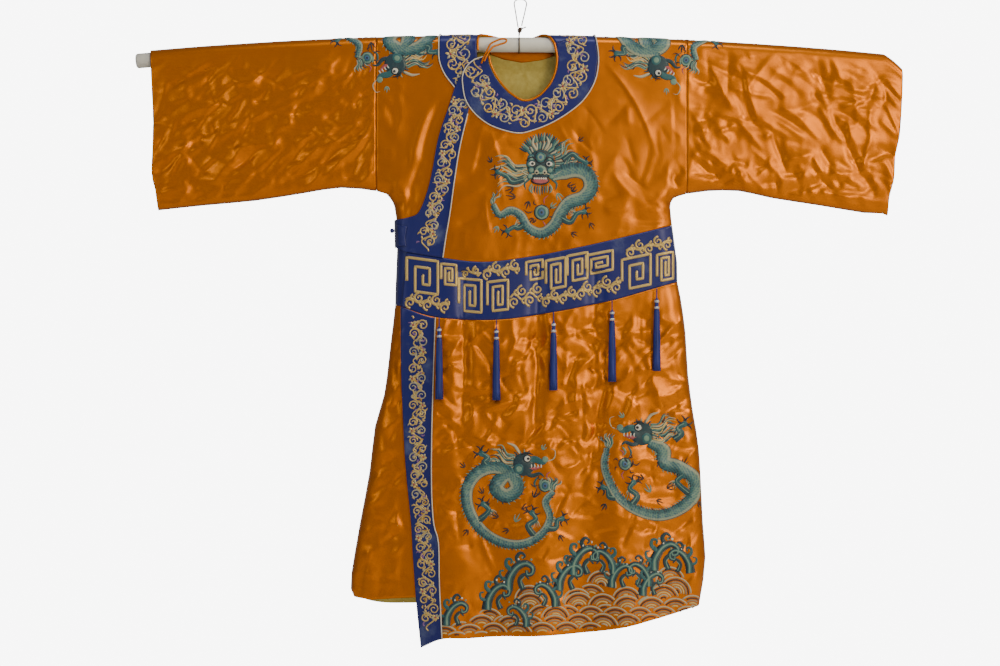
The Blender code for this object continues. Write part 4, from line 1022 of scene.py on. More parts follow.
class Stitches:
    """A collection of padded stitches on the cut, made into one mesh."""

    def __init__(self, centre=(0.0, 0.0), turn=0.0, mirror=1, scale=1.0, base=0.15, seed=1):
        self.centre, self.mirror, self.scale, self.base = np.array(centre, float), mirror, scale, base
        self.turn = math.radians(turn)
        self.rng = np.random.default_rng(seed)
        self.cut, self.height, self.colour, self.place, self.faces = [], [], [], [], []
        self.count = 0

    def placed(self, rows):
        """Rows drawn about a motif's centre, with z upwards, to the flat cut."""
        p = columns(rows) * self.scale * (self.mirror, 1)
        c, s = math.cos(self.turn), math.sin(self.turn)
        return self.centre + np.stack([p[:, 0] * c - p[:, 1] * s, -(p[:, 0] * s + p[:, 1] * c)], axis=1)

    def ribbon(self, line, half, colour, rise=0.5, across=3, lift=0.0):
        """A closed, domed strip: aside by half * c and up by rise * sqrt(1 - c^2), c from -1 to 1."""
        line = np.asarray(line, float)
        n = len(line)
        aside = run_and_aside(line)[1]
        half = np.broadcast_to(np.asarray(half, float), (n,)) * self.scale
        c = np.concatenate([np.linspace(-1, 1, across), [0.7, -0.7]])
        points = line[:, None] + aside[:, None] * (half[:, None] * c)[..., None]
        dome = rise * np.sqrt(np.clip(1 - c**2, 0, 1)) * np.minimum(1, half / 1.5)[:, None]
        height = np.where(np.arange(len(c)) < across, self.base + lift + dome, UNDERSIDE)
        shade = np.broadcast_to(np.asarray(colour, float), (n, len(c), 3)) if np.ndim(colour) != 2 else (
            np.broadcast_to(np.asarray(colour, float)[:, None], (n, len(c), 3)))
        s = run_along(line)
        k = len(c)
        self.cut += [points.reshape(-1, 2), line[[0, -1]]]
        self.height += [height.ravel(), np.full(2, self.base + lift)]
        self.colour += [shade.reshape(-1, 3), shade[[0, -1], 0]]
        self.place += [np.stack([np.repeat(s, k), (half[:, None] * c).ravel()], 1),
                np.stack([s[[0, -1]], [0, 0]], 1)]
        self.faces.append(np.vstack([wall_faces(n, k), cap_faces(n, k)]) + self.count)
        self.count += n * k + 2

    def stroke(self, rows, width, colour, rise=0.5, step=3.0, point=0.15, across=3, lift=0.0):
        """A curved stitch through rows, widest a third along and drawn to a point at its end."""
        line = self.placed(smooth(rows, step))
        t = np.linspace(0, 1, len(line))
        half = width / 2 * (point + (1 - point) * np.clip(np.sin(math.pi * t**0.7), 0, 1) ** 0.7)
        self.ribbon(line, half, colour, rise, across, lift)

    def even(self, rows, width, colour, rise=0.5, step=2.2, lift=0.0, across=3, sharp=False):
        """A line of even width through rows, smooth or with sharp corners."""
        line = self.placed(straight(rows, step) if sharp else smooth(rows, step))
        self.ribbon(line, width / 2, colour, rise, across, lift)

    def horn(self, rows, wide, thin, colour, rise=0.9, lift=0.0, across=5):
        """A strip through rows that narrows evenly from wide to thin."""
        line = self.placed(smooth(rows, 2.2))
        self.ribbon(line, np.linspace(wide, thin, len(line)) / 2, colour, rise, across, lift)

    def disc(self, centre, radius, colour, rise=0.7, lift=0.0, tall=1.0):
        """A round pad; tall stretches it upwards."""
        t = np.linspace(-0.995, 0.995, max(8, int(radius)))
        line = self.placed(np.stack([centre[0] + 0 * t, centre[1] + radius * tall * t], axis=1))
        self.ribbon(line, radius * np.sqrt(1 - t**2), colour, rise, 7, lift)

    def curl(self, centre, radius, start, turns, width, colour, rise=0.5, lift=0.0):
        """A spiral that winds in: radius (1 - 0.85 t) at angle start + turns t."""
        t = np.linspace(0, 1, max(8, int(abs(turns) * radius * 1.6)))
        angle = np.radians(start) + turns * 2 * math.pi * t
        r = radius * (1 - 0.85 * t)
        rows = np.stack([centre[0] + r * np.cos(angle), centre[1] + r * np.sin(angle)], axis=1)
        self.ribbon(self.placed(rows), width / 2 * (1 - 0.4 * t), colour, rise, 3, lift)

    def made(self, name, material, lifted, slot="orange_satin"):
        """The stitches as one object over the folded cloth."""
        cut, height = np.vstack(self.cut), np.concatenate(self.height)
        z = QUARTER + crest_z(cut[:, 0]) - np.abs(cut[:, 1])
        past = np.interp(z, *columns(RIGHT_SIDE)[7:][::-1, ::-1].T) - EDGE_SPARE
        cut[:, 0] = np.where(z < RIGHT_SIDE[7][1], np.minimum(cut[:, 0], past), cut[:, 0])
        points, _ = surface(cut, height, lifted)
        faces = np.vstack(self.faces)
        a, b, c = points[faces[:, 0]], points[faces[:, 1]], points[faces[:, 2]]
        if (a * np.cross(b, c)).sum() + (a * np.cross(c, points[faces[:, 3]])).sum() < 0:
            flipped = faces[:, ::-1]
            triangle = faces[:, 2] == faces[:, 3]
            faces = np.where(triangle[:, None], faces[:, [1, 0, 2, 3]], flipped)
        obj = solid_piece(name, [(points, faces)], [material])
        shade = obj.data.color_attributes.new("floss_colour", "FLOAT_COLOR", "POINT")
        shade.data.foreach_set("color",
                np.hstack([np.vstack(self.colour), np.ones((len(points), 1))]).ravel())
        place = obj.data.attributes.new("stitch_place", "FLOAT2", "POINT")
        place.data.foreach_set("vector", (np.vstack(self.place) * MM).ravel())
        return obj


def scaled_body(work, rows, wide, thin, spine=-1):
    """A dragon's body: dark scales along the spine, pale bars along the belly, and a comb of fins."""
    line = work.placed(smooth(rows, 2.2))
    n = len(line)
    t = np.linspace(0, 1, n)
    half = wide + (thin - wide) * t**1.3
    half *= np.clip(0.55 + t * 6, 0, 1)
    across = 11
    c = np.concatenate([np.linspace(-1, 1, across), [0.7, -0.7]]) * spine
    s = run_along(line)[:, None]
    lane = half[:, None] * c
    row = np.floor(s / 5.2)
    up = s / 5.2 - row
    side = np.abs((lane / 6.0 + 0.5 * (row % 2)) % 1 - 0.5)
    edge = np.clip((np.hypot(side * 1.7, up) - 0.62) * 5, 0, 1)[..., None]
    scales = (np.array(TEAL) * 0.55 + np.array(SKY) * 0.40) * (1 - edge) + np.array(MINT) * edge * 0.95
    back = np.clip((c[None, :, None] - 0.15) * 3, 0, 1)
    scales = scales * (1 - back) + (np.array(DEEP_TEAL) * (1 - edge) + np.array(TEAL) * 1.2 * edge) * back
    bars = (np.abs((s / 4.6) % 1 - 0.5) * 2)[..., None]
    belly = np.array(MINT) * bars + np.array(CREAM) * 0.9 * (1 - bars)
    low = np.clip((-c[None, :, None] - 0.42) * 6, 0, 1)
    colour = scales * (1 - low) + belly * low
    rim = np.clip((np.abs(c)[None, :, None] - 0.9) * 12, 0, 1) * np.ones((n, 1, 1))
    colour = colour * (1 - rim) + np.array(NIGHT) * rim
    work.ribbon(line, half, colour, 1.3, across)
    run, out = run_and_aside(line)
    out = out * spine
    for k in range(5, n - 4, 3):
        reach = 3.0 + 3.2 * (1 - t[k])
        foot = line[k] + out[k] * half[k] * work.scale * 0.9
        fin = np.array([foot, foot + out[k] * reach * 0.6 + run[k] * 1.4,
                foot + out[k] * reach + run[k] * 4.0])
        fin = smooth(fin, 2.0)
        work.ribbon(fin, np.linspace(1.7, 0.5, len(fin)), MINT if (k // 4) % 3 else DEEP_TEAL, 0.4)


def leg(work, rows, claw_turn, size=1.0):
    """A leg with scales' colours, a fringe of hair at its joint, and a five-toed dark claw."""
    rows = columns(rows)
    line = smooth(rows, 2.0)
    work.ribbon(work.placed(line), np.linspace(7.0, 4.2, len(line)) * size,
            np.linspace(DEEP_TEAL, TEAL, len(line)), 1.0, 7)
    work.ribbon(work.placed(line + (1.0, 1.5)), np.linspace(2.4, 1.4, len(line)) * size, MINT, 0.4, 3, 0.7)
    foot = rows[-1]
    joint = rows[len(rows) // 2]
    for k in range(5):
        tip = joint + 17 * size * heading(claw_turn + 180 + (k - 2) * 16)
        work.stroke([joint, (joint + tip) / 2 + (1, 2), tip], 2.2, (MINT, CREAM, TEAL)[k % 3], 0.4)
    work.disc(foot, 6.0 * size, TEAL, 1.0)
    for k in range(5):
        way = heading(claw_turn + (k - 2) * 46)
        side = np.array([-way[1], way[0]]) * (4 if k % 2 else -4)
        work.stroke([foot + way * 3, foot + way * 10 * size + side * 0.6,
                foot + way * 17 * size - side * 0.4], 3.6 * size,
                NIGHT, 0.7, 1.6)


def strands(work, foot, tip, count, spread, colours, width=2.6, bend=8.0):
    """Locks of hair that leave one line of roots and end along another."""
    foot, tip, spread = columns(foot), columns(tip), np.array(spread)
    for k in range(count):
        t = k / max(count - 1, 1)
        a = foot[0] + (foot[-1] - foot[0]) * t
        b = tip[0] + (tip[-1] - tip[0]) * t + work.rng.normal(size=2) * spread
        across = np.array([-(b - a)[1], (b - a)[0]]) / np.linalg.norm(b - a)
        work.stroke([a, a * 0.62 + b * 0.38 + across * bend, a * 0.25 + b * 0.75 - across * bend * 0.4,
                b + across * bend * 0.4],
                width, colours[k % len(colours)], 0.5)


def pearl(work, centre, radius):
    """The flaming pearl: rings from deep blue to pale, and dark licks of flame round it."""
    x, z = centre
    for share, colour, lift in ((1.0, NIGHT, 0), (0.88, MINT, 0.25), (0.66, TEAL, 0.45), (0.42, SKY, 0.65),
            (0.2, NIGHT, 0.8)):
        work.disc(centre, radius * share, colour, 0.5, lift)
    for k in range(7):
        way = heading(20 + k * 360 / 7)
        side = np.array([-way[1], way[0]])
        start = np.array([x, z]) + way * radius * 1.08
        reach = radius * (0.75 + 0.5 * (k % 2))
        work.stroke([start, start + way * reach * 0.5 + side * 4, start + way * reach - side * 2], 3.4,
                (BROWN, ROSE)[k % 4 == 1], 0.5)


def wisps(work, spots):
    """Three-pronged flames, dark and pale, on the ground of a roundel: x, z, angle, length."""
    for k, (x, z, angle, reach) in enumerate(spots):
        way = heading(angle)
        side = np.array([-way[1], way[0]])
        foot = np.array([x, z])
        shade = (BROWN, NIGHT, BROWN, MINT)[k % 4]
        for lean, share in ((-0.5, 0.75), (0.0, 1.1), (0.5, 0.75)):
            run = (way + side * lean) * reach * share
            work.stroke([foot, foot + run * 0.5 + side * lean * 3, foot + run], 3.4, shade, 0.5)


def front_head(work):
    """A dragon's face seen from the front: brow, eyes, nose, mouth, scaled cheeks, horns and beard."""
    strands(work, [(-34, 52), (-30, 26)], [(-96, 74), (-98, 8)], 22, (6, 5),
            (MINT, CREAM, TEAL, PALE_GOLD, DEEP_TEAL), 4.2, 9)
    strands(work, [(24, 72), (26, 40)], [(54, 108), (74, 62)], 16, (6, 5), (MINT, TEAL, CREAM, DEEP_TEAL),
            4.0, -7)
    arc = [(-44, 84), (-32, 100), (-14, 110), (8, 113), (26, 104), (38, 86)]
    ring = smooth(arc, 5)
    for k, p in enumerate(ring):
        way = (p - (-2, 62)) / np.linalg.norm(p - (-2, 62))
        work.stroke([p - way * 12, p, p + way * 8], 5.6, (DEEP_TEAL, TEAL, MINT)[k % 3], 0.6)
        root = np.array((-4, 60)) + way * 24
        work.stroke([root, (root + p) / 2 + (way[1] * 3, -way[0] * 3), p - way * 9], 5.2,
                (TEAL, MINT, DEEP_TEAL, CREAM)[k % 4], 0.6)
    work.disc((-5, 52), 31, DEEP_TEAL, 1.2, 0, 1.05)
    for side in (-1, 1):
        def at(*rows):
            return [(-5 + side * a, z) for a, z in rows]
        for k in range(4):
            work.disc(at((20 + 3 * (k % 2), 66 - k * 13))[0], 8.5 - k * 0.7, TEAL, 0.8, 0.9)
            work.disc(at((20 + 3 * (k % 2), 66 - k * 13))[0], 4.8, MINT, 0.5, 1.5)
        work.stroke(at((8, 82), (17, 98), (13, 113)), 6.5, CREAM, 0.9, lift=0.8)
        work.disc((-5 + side * 18.5, 54), 8.6, NIGHT, 0.6, 1.6, 0.8)
        work.disc((-5 + side * 18.5, 54), 6.6, WHITE, 0.6, 2.0, 0.8)
        work.disc((-5 + side * 17.5, 54), 3.3, NIGHT, 0.5, 2.5)
        work.stroke(at((6, 60), (18, 68), (31, 61)), 4.4, NIGHT, 0.6, lift=1.8)
        work.stroke(at((10, 34), (28, 30), (46, 40), (50, 30)), 2.8, CREAM, 0.5, lift=1.0)
        work.stroke(at((22, 22), (34, 12), (32, -2)), 5.0, TEAL, 0.6)
        work.stroke(at((18, 12), (24, 0), (18, -10)), 4.2, MINT, 0.6)
    for share, colour, lift in ((1, NIGHT, 1.5), (0.86, TEAL, 1.8), (0.6, MINT, 2.1), (0.3, SKY, 2.4)):
        work.disc((-5, 68), 13.5 * share, colour, 0.5, lift)
    for share, colour, lift in ((1, NIGHT, 1.5), (0.86, MINT, 1.9), (0.5, TEAL, 2.3)):
        work.disc((-5, 41), 14.0 * share, colour, 0.7, lift, 0.8)
    for side in (-1, 1):
        work.disc((-5 + side * 8.5, 36), 5.2, CREAM, 0.7, 2.2)
        work.disc((-5 + side * 8.5, 35), 2.4, NIGHT, 0.4, 2.8)
    work.disc((-6, 18), 20, NIGHT, 0.7, 1.4, 0.46)
    work.disc((-6, 18), 17, ROSE, 0.5, 1.9, 0.36)
    for k in range(6):
        work.disc((-18 + k * 4.8, 22.5), 2.2, WHITE, 0.5, 2.3)
    for k in range(9):
        x = -27 + k * 5.2
        work.stroke([(x, 8), (x * 1.05 - 1, -3 - (k % 2) * 4), (x * 0.95, -14 + abs(k - 4) * 2)], 3.6,
                (TEAL, MINT, DEEP_TEAL)[k % 3], 0.5)


def chest_dragon(work):
    """The facing dragon of the chest, drawn round its pearl."""
    scaled_body(work, [(18, 26), (40, 36), (70, 42), (95, 32), (102, 6), (86, -16), (56, -28), (38, -50),
            (22, -78),
            (-4, -94), (-32, -82), (-48, -56), (-70, -46), (-92, -56), (-107, -34)], 18.0, 6.5)
    leg(work, [(-40, 20), (-66, 14), (-78, 26), (-97, 36)], 160)
    leg(work, [(42, 62), (62, 76), (76, 66), (92, 58)], 20)
    leg(work, [(34, -60), (58, -70), (72, -52), (88, -47)], -10)
    leg(work, [(-34, -72), (-52, -84), (-62, -82), (-76, -90)], 215)
    strands(work, [(-108, -36), (-104, -30)], [(-112, -6), (-88, -10)], 7, (2, 2), (MINT, TEAL, CREAM), 3.0,
            4)
    wisps(work, [(-62, 2, 200, 20), (-30, -26, 250, 18), (52, 6, 20, 18), (30, -8, 300, 20),
            (-58, -18, 170, 20), (62, -6, 60, 16),
            (-20, -62, 230, 15), (16, -40, 40, 16), (100, -70, 300, 16), (-110, 56, 120, 14),
            (60, -92, 330, 16),
            (-96, -80, 240, 16), (76, 104, 40, 14)])
    front_head(work)
    pearl(work, (-3, -50), 17)


def side_head(work, x, z, size=1.0):
    """A dragon's head seen from the side, looking to the right, with its jaws open."""
    def at(rows):
        return [(x + a * size, z + b * size) for a, b in rows]
    strands(work, at([(-14, 20), (-20, -12)]), at([(-50, 40), (-66, 0)]), 18, (6, 5),
            (MINT, TEAL, CREAM, DEEP_TEAL, PALE_GOLD), 4.2, 7)
    for k in range(7):
        way = heading(70 + k * 18)
        work.stroke(at([tuple(way * 17), tuple(way * 24 + (1, 2)), tuple(way * 31)]), 4.2,
                (DEEP_TEAL, MINT, TEAL)[k % 3], 0.6)
    work.disc((x, z + 2 * size), 21 * size, DEEP_TEAL, 1.1)
    work.disc((x - 8 * size, z - 6 * size), 10 * size, TEAL, 0.8, 0.8)
    work.disc((x - 8 * size, z - 6 * size), 5.5 * size, MINT, 0.5, 1.4)
    work.stroke(at([(2, 8), (20, 12), (36, 6), (44, 12)]), 13 * size, TEAL, 1.1, across=7)
    work.stroke(at([(0, -12), (16, -18), (30, -14), (38, -20)]), 8 * size, DEEP_TEAL, 0.9, across=5)
    work.stroke(at([(8, -4), (20, -5), (34, -1)]), 7 * size, ROSE, 0.6, lift=0.3)
    for k in range(4):
        work.stroke(at([(14 + k * 6, 3), (15 + k * 6, -1), (14 + k * 6, -4)]), 2.4 * size, WHITE, 0.4, 1.4,
                lift=0.9)
    work.disc((x + 40 * size, z + 12 * size), 6 * size, MINT, 0.7, 0.8)
    work.disc((x + 7 * size, z + 13 * size), 7.4 * size, NIGHT, 0.6, 1.2)
    work.disc((x + 7 * size, z + 13 * size), 5.6 * size, WHITE, 0.5, 1.6)
    work.disc((x + 8.5 * size, z + 13 * size), 2.8 * size, NIGHT, 0.4, 2.0)
    work.stroke(at([(-4, 20), (6, 24), (18, 20)]), 4 * size, NIGHT, 0.5, lift=1.4)
    work.stroke(at([(-6, 22), (-16, 36), (-30, 42)]), 5.6 * size, CREAM, 0.8, lift=0.5)
    work.stroke(at([(42, 8), (56, 14), (58, 28), (50, 32)]), 2.4 * size, CREAM, 0.4)
    work.stroke(at([(36, -22), (30, -32), (36, -40)]), 4 * size, MINT, 0.5)
    work.stroke(at([(26, -20), (20, -32), (24, -42)]), 4 * size, TEAL, 0.5)


def low_dragon(work, tail_out=False):
    """The walking dragon of the skirt: its neck coils behind the head and its body makes a deep cup."""
    path = [(14, 52), (-18, 46), (-34, 22), (-12, 6), (10, 22), (-2, 50), (-36, 66), (-74, 54), (-96, 20),
            (-92, -24),
            (-66, -66), (-24, -92), (22, -96), (62, -74), (80, -40), (70, -6), (88, 16)]
    if tail_out:
        path = [(10, 54), (-20, 40), (-24, 14), (-56, 4), (-88, -20), (-84, -56), (-50, -86), (-8, -98),
                (36, -88), (72, -64),
                (92, -32), (104, 4), (98, 40)]
    scaled_body(work, path, 16.5, 6.5, 1)
    leg(work, [(-44, 62), (-60, 76), (-52, 86), (-66, 96)], 120, 1.15)
    leg(work, [(-76, -50), (-58, -36), (-50, -24), (-62, -12)], 130, 1.1)
    leg(work, [(48, -80), (34, -58), (50, -44), (42, -30)], 90, 1.1)
    leg(work, [(70, -62), (92, -62), (96, -46), (106, -42)], 0, 1.05)
    tip = columns(path)[-1]
    strands(work, [tip - (3, 2), tip + (3, 3)], [tip + (-14, 32), tip + (20, 24)], 11, (2, 2),
            (MINT, TEAL, CREAM, DEEP_TEAL), 4.0, 4)
    wisps(work, [(-62, 10, 120, 18), (-48, -10, 200, 16), (-28, -40, 160, 20), (6, -50, 60, 20),
            (20, -22, 20, 22),
            (46, 2, 70, 20), (-6, -66, 200, 16), (30, -66, 20, 16), (-100, 66, 140, 16), (100, -76, 300, 16),
            (-94, -66, 230, 16), (64, 104, 60, 14), (-20, 96, 110, 16)])
    pearl(work, (70, 28) if not tail_out else (60, 8), 14)
    side_head(work, 24, 70, 1.16)


def wave_sea(work, fans, low_line, crests):
    """Fans of rings like overlapping scales, the nearer ones in front, with curling crests above them."""
    fans = columns(fans)
    for number, (x, top, radius) in enumerate(fans):
        later = fans[number + 1:]
        for ring in range(int(radius // 5.2)):
            r = radius - 2.4 - ring * 5.2
            angle = np.radians(np.arange(-8, 189, 270 / max(r, 5)))
            points = np.stack([x + r * np.cos(angle), top - radius + r * np.sin(angle)], axis=1)
            shown = points[:, 1] > np.interp(points[:, 0], *low_line)
            shown &= points[:, 0] < np.interp(points[:, 1], *columns(RIGHT_SIDE)[::-1, ::-1].T) - 5
            for a, b, big in later:
                shown &= np.hypot(points[:, 0] - a, points[:, 1] - (b - big)) > big
            colour = (CREAM, BROWN, TAUPE, PALE_GOLD)[ring % 4]
            edges_of = np.nonzero(np.diff(np.concatenate([[0], shown.astype(int), [0]])))[0]
            for first, last in zip(edges_of[::2], edges_of[1::2]):
                if last - first > 2:
                    work.ribbon(work.placed(points[first:last]), 1.75, colour, 0.45)
    for number, (x, z, size, way) in enumerate(crests):
        size = size * 1.12
        def at(rows):
            return [(x + a * way * size, z + b * size) for a, b in rows]
        for k, (shade, wide, thin) in enumerate(((NIGHT, 21, 6), (DEEP_TEAL, 17.5, 5), (TEAL, 10.5, 3),
                (MINT, 4.5, 1.6))):
            work.horn(at([(-26 + k, -40), (-22, -20), (-10, -1), (6, 7), (18, 0), (17, -10), (9, -12),
                    (8, -5)]), wide * size, thin * size, shade,
                    0.5, k * 0.4)
        for rows, wide, thin, shade, rise, lift in (
                ([(2, -38), (-4, -22), (4, -12), (12, -20)], 12, 3, DEEP_TEAL, 0.8, 0),
                ([(2, -36), (-2, -24), (4, -16)], 3, 1.4, MINT, 0.5, 0.5),
                ([(-18, -6), (-27, 3), (-26, 13), (-18, 13), (-19, 6)], 9.5, 3, TEAL, 0.8, 0),
                ([(-4, 6), (-9, 17), (-2, 25), (5, 20), (1, 15)], 9, 3, DEEP_TEAL, 0.8, 0),
                ([(-24, -22), (-36, -18), (-38, -8), (-31, -6)], 8, 2.6, TEAL, 0.7, 0)):
            work.horn(at(rows), wide * size, thin * size, shade, rise, lift)
        for k in range(5):
            spot = at([(16 - k * 7.5, 13 + 5 * math.sin(k * 2.1 + number))])[0]
            work.disc(spot, 2.2 * size, WHITE if k % 2 else MINT, 0.5, 0.3)


FAN_TOPS = [(-124, -1329), (-65, -1302), (-20, -1316), (13, -1329), (21, -1251), (76, -1294), (123, -1258),
        (174, -1219),
        (185, -1290), (228, -1251), (279, -1270), (322, -1207), (370, -1266), (390, -1212)]
CRESTS = [(-132, -1298, 0.9, 1), (-42, -1262, 1.0, 1), (-7, -1305, 0.8, -1), (5, -1215, 1.1, 1),
        (52, -1258, 0.9, -1),
        (111, -1219, 1.0, 1), (143, -1182, 1.1, 1), (176, -1186, 0.9, -1), (220, -1215, 0.9, 1),
        (252, -1211, 0.9, -1),
        (287, -1231, 0.9, 1), (316, -1168, 1.1, 1), (340, -1180, 0.9, -1), (384, -1204, 0.8, 1)]


def sea_fans(x_low, x_high, hem):
    """Fans under a rising skyline, back rows first, and staggered rows in front of them down to the hem."""
    skyline = columns(sorted(FAN_TOPS))
    made = []
    for row in range(9):
        depth = 1207 + row * 21.0
        for x in np.arange(x_low + (row % 2) * 26, x_high, 52):
            top = -depth - 4 * math.sin(x * 0.11 + row)
            if top < np.interp(x, *skyline.T) - 2 and top > np.interp(x, *hem) + 6:
                made.append((x, top, 35.0))
    made += [(x, z, 33.0) for x, z in FAN_TOPS if x_low < x < x_high]
    return sorted(made, key=lambda fan: -fan[1])


FRETS = [(-241, -175, -557, -628), (-131, -82, -601, -670), (14, 49, -562, -601), (56, 98, -557, -619),
        (102, 145, -546, -601), (142, 199, -542, -583), (219, 280, -548, -613), (294, 329, -538, -595),
        (-168, -136, -569, -612), (-69, -25, -605, -668)]
CLOUDS = [(-243, -150, -632, -666), (-126, -82, -573, -598), (-78, 0, -564, -598), (-20, 47, -608, -665),
        (48, 122, -622, -653), (125, 153, -606, -640), (157, 217, -590, -633), (228, 326, -508, -540)]


def band_lean(x, middle):
    """How much higher the waistband's upper edge lies at x than at middle."""
    edge = columns(BAND_TOP).T
    return np.interp(x, *edge) - np.interp(middle, *edge)


def fret(work, x0, x1, z0, z1, width, colour):
    """A square spiral of couched cord inside a box, with an outer hook."""
    w, h = x1 - x0, z0 - z1
    gap = min(w, h) / 6.4
    rows = [(x0, z1 + gap * 2), (x0, z0), (x1, z0), (x1, z1), (x0 + gap * 1.7, z1),
            (x0 + gap * 1.7, z0 - gap * 1.7),
            (x1 - gap * 1.7, z0 - gap * 1.7), (x1 - gap * 1.7, z1 + gap * 1.7),
            (x0 + gap * 3.3, z1 + gap * 1.7),
            (x0 + gap * 3.3, z0 - gap * 3.3), (x1 - gap * 3.2, z0 - gap * 3.3)]
    rows = [(x, z + band_lean(x, (x0 + x1) / 2)) for x, z in rows]
    work.even(rows, width, colour, 0.8, 4.4, sharp=True, across=5)


def scroll_cloud(work, x0, x1, z0, z1, width, colour):
    """A bank of curls in two rows, joined by a wavy stem."""
    count = max(2, round((x1 - x0) / 19))
    tall = z0 - z1
    for k in range(count):
        x = x0 + (k + 0.5) * (x1 - x0) / count
        up = 1 if k % 2 else -1
        z = (z0 + z1) / 2 + up * tall * 0.2 + band_lean(x, (x0 + x1) / 2)
        work.curl((x, z), min(11.5, tall * 0.32), 90 * up, 1.35 * up, width, colour, 0.8)
        work.curl((x + 6, z - up * tall * 0.34), min(7.5, tall * 0.2), -90 * up, -1.1 * up, width * 0.9,
                colour, 0.8)
    wave = [(x0 + (x1 - x0) * t, (z0 + z1) / 2 + tall * 0.12 * math.sin(t * math.pi * count)
            + band_lean(x0 + (x1 - x0) * t, (x0 + x1) / 2)) for t in np.linspace(0, 1, count * 3)]
    work.even(wave, width * 0.9, colour, 0.7)


def band_figures(work):
    """Frets and clouds along the front of the waistband, following its slope."""
    for box in FRETS:
        fret(work, *box, 6.2, PALE_GOLD)
    for box in CLOUDS:
        scroll_cloud(work, *box, 5.4, PALE_GOLD)


def vine(work, line, half_width, seed):
    """A waving stem along a border's middle, with a curl in every bend, leaves and small blooms."""
    length = length_of(line)
    fine = at_shares(line, np.linspace(0, 1, round(length / 3.0)))
    run, aside = run_and_aside(fine)
    s = np.linspace(0, length, len(fine))
    pitch = 38.0
    swing = half_width * 0.36 * np.sin(2 * math.pi * s / pitch)
    stem = fine + aside * swing[:, None]
    work.ribbon(stem, 1.5, PALE_GOLD, 0.6)
    rng = np.random.default_rng(seed)
    for number, place in enumerate(np.arange(pitch / 4, length - 8, pitch / 2)):
        k = min(int(place / length * (len(fine) - 1)), len(fine) - 1)
        up = -1 if number % 2 else 1
        turn = math.degrees(math.atan2(run[k][1], run[k][0]))
        centre = fine[k] - aside[k] * up * half_width * 0.34
        shade = PALE_GOLD if rng.random() < 0.7 else CREAM
        size = half_width * rng.uniform(0.36, 0.46)
        t = np.linspace(0, 1, 22)
        angle = math.radians(turn) + up * (math.pi / 2 + 2.9 * math.pi * t)
        r = size * (1 - 0.8 * t)
        work.ribbon(centre + np.stack([r * np.cos(angle), r * np.sin(angle)], 1), 1.7 - 0.7 * t, shade, 0.6)
        for leaf in range(7):
            spot = fine[k] + run[k] * rng.uniform(-14, 14) + aside[k] * rng.uniform(-0.52, 0.52) * half_width
            way = heading(turn + rng.uniform(0, 360))
            tip = way * rng.uniform(6, 12)
            bent = np.array([-tip[1], tip[0]]) * 0.3
            body = smooth([spot, spot + tip / 2 + bent, spot + tip], 1.8)
            width = 1.9 * np.sin(math.pi * np.linspace(0.12, 0.95, len(body)))
            work.ribbon(body, width, (CREAM, PALE_GOLD, GOLD, PALE_GOLD, (0.32, 0.16, 0.42))[leaf % 5], 0.5)
        if number % 3 == 0:
            bud = fine[k] + aside[k] * up * half_width * 0.42
            for petal in range(5):
                tip = heading(turn + petal * 72) * half_width * 0.3
                body = at_shares(np.array([bud + tip * 0.2, bud + tip]), np.linspace(0, 1, 5))
                work.ribbon(body, [1.0, 2.2, 2.8, 2.2, 0.8], CREAM if petal % 2 else PALE_GOLD, 0.6)
            work.ribbon(at_shares(np.array([bud - tip * 0.2, bud + tip * 0.2]), np.linspace(0, 1, 4)), 1.8,
                    ROSE, 0.5, 3, 0.5)


# ---------------------------------------------------------------- finishes
def group(name, inputs, outputs):
    """An empty shared effect with its sockets: (name, kind, default) rows."""
    made = bpy.data.node_groups.new(name, "ShaderNodeTree")
    for socket, kind, default in inputs:
        item = made.interface.new_socket(socket, in_out="INPUT", socket_type=kind)
        if default is not None:
            item.default_value = default
    for socket, kind in outputs:
        made.interface.new_socket(socket, in_out="OUTPUT", socket_type=kind)
    return made, made.nodes.new("NodeGroupInput"), made.nodes.new("NodeGroupOutput")


def add(tree, kind, **settings):
    node = tree.nodes.new(kind)
    for key, value in settings.items():
        setattr(node, key, value)
    return node


def noise(tree, vector, scale, detail=2.0, roughness=0.5):
    node = add(tree, "ShaderNodeTexNoise")
    node.inputs["Scale"].default_value = scale
    node.inputs["Detail"].default_value = detail
    node.inputs["Roughness"].default_value = roughness
    tree.links.new(vector, node.inputs["Vector"])
    return node.outputs["Fac"]


def ramp(tree, value, stops):
    node = add(tree, "ShaderNodeValToRGB")
    ramp_stops = node.color_ramp.elements
    for index, (place, colour) in enumerate(stops):
        stop = ramp_stops[index] if index < 2 else ramp_stops.new(place)
        stop.position = place
        stop.color = (*colour, 1)
    tree.links.new(value, node.inputs["Fac"])
    return node.outputs["Color"]


def feed(tree, sockets, values):
    """Links or sets each socket; a plain colour gets its fourth part."""
    for socket, value in zip(sockets, values):
        if isinstance(value, bpy.types.NodeSocket):
            tree.links.new(value, socket)
        else:
            socket.default_value = (*value, 1) if isinstance(value, tuple) else value


def mixed(tree, factor, a, b):
    node = add(tree, "ShaderNodeMix", data_type="RGBA")
    feed(tree, [node.inputs[name] for name in ("Factor", "A", "B")], (factor, a, b))
    return node.outputs["Result"]


def math_node(tree, operation, a, b):
    node = add(tree, "ShaderNodeMath", operation=operation)
    feed(tree, node.inputs, (a, b))
    return node.outputs[0]


def drawn_out(tree, place, scale):
    """A place scaled by its own amount each way, which draws out the pattern made from it."""
    node = add(tree, "ShaderNodeMapping", vector_type="POINT")
    node.inputs["Scale"].default_value = scale
    tree.links.new(place, node.inputs["Vector"])
    return node.outputs["Vector"]


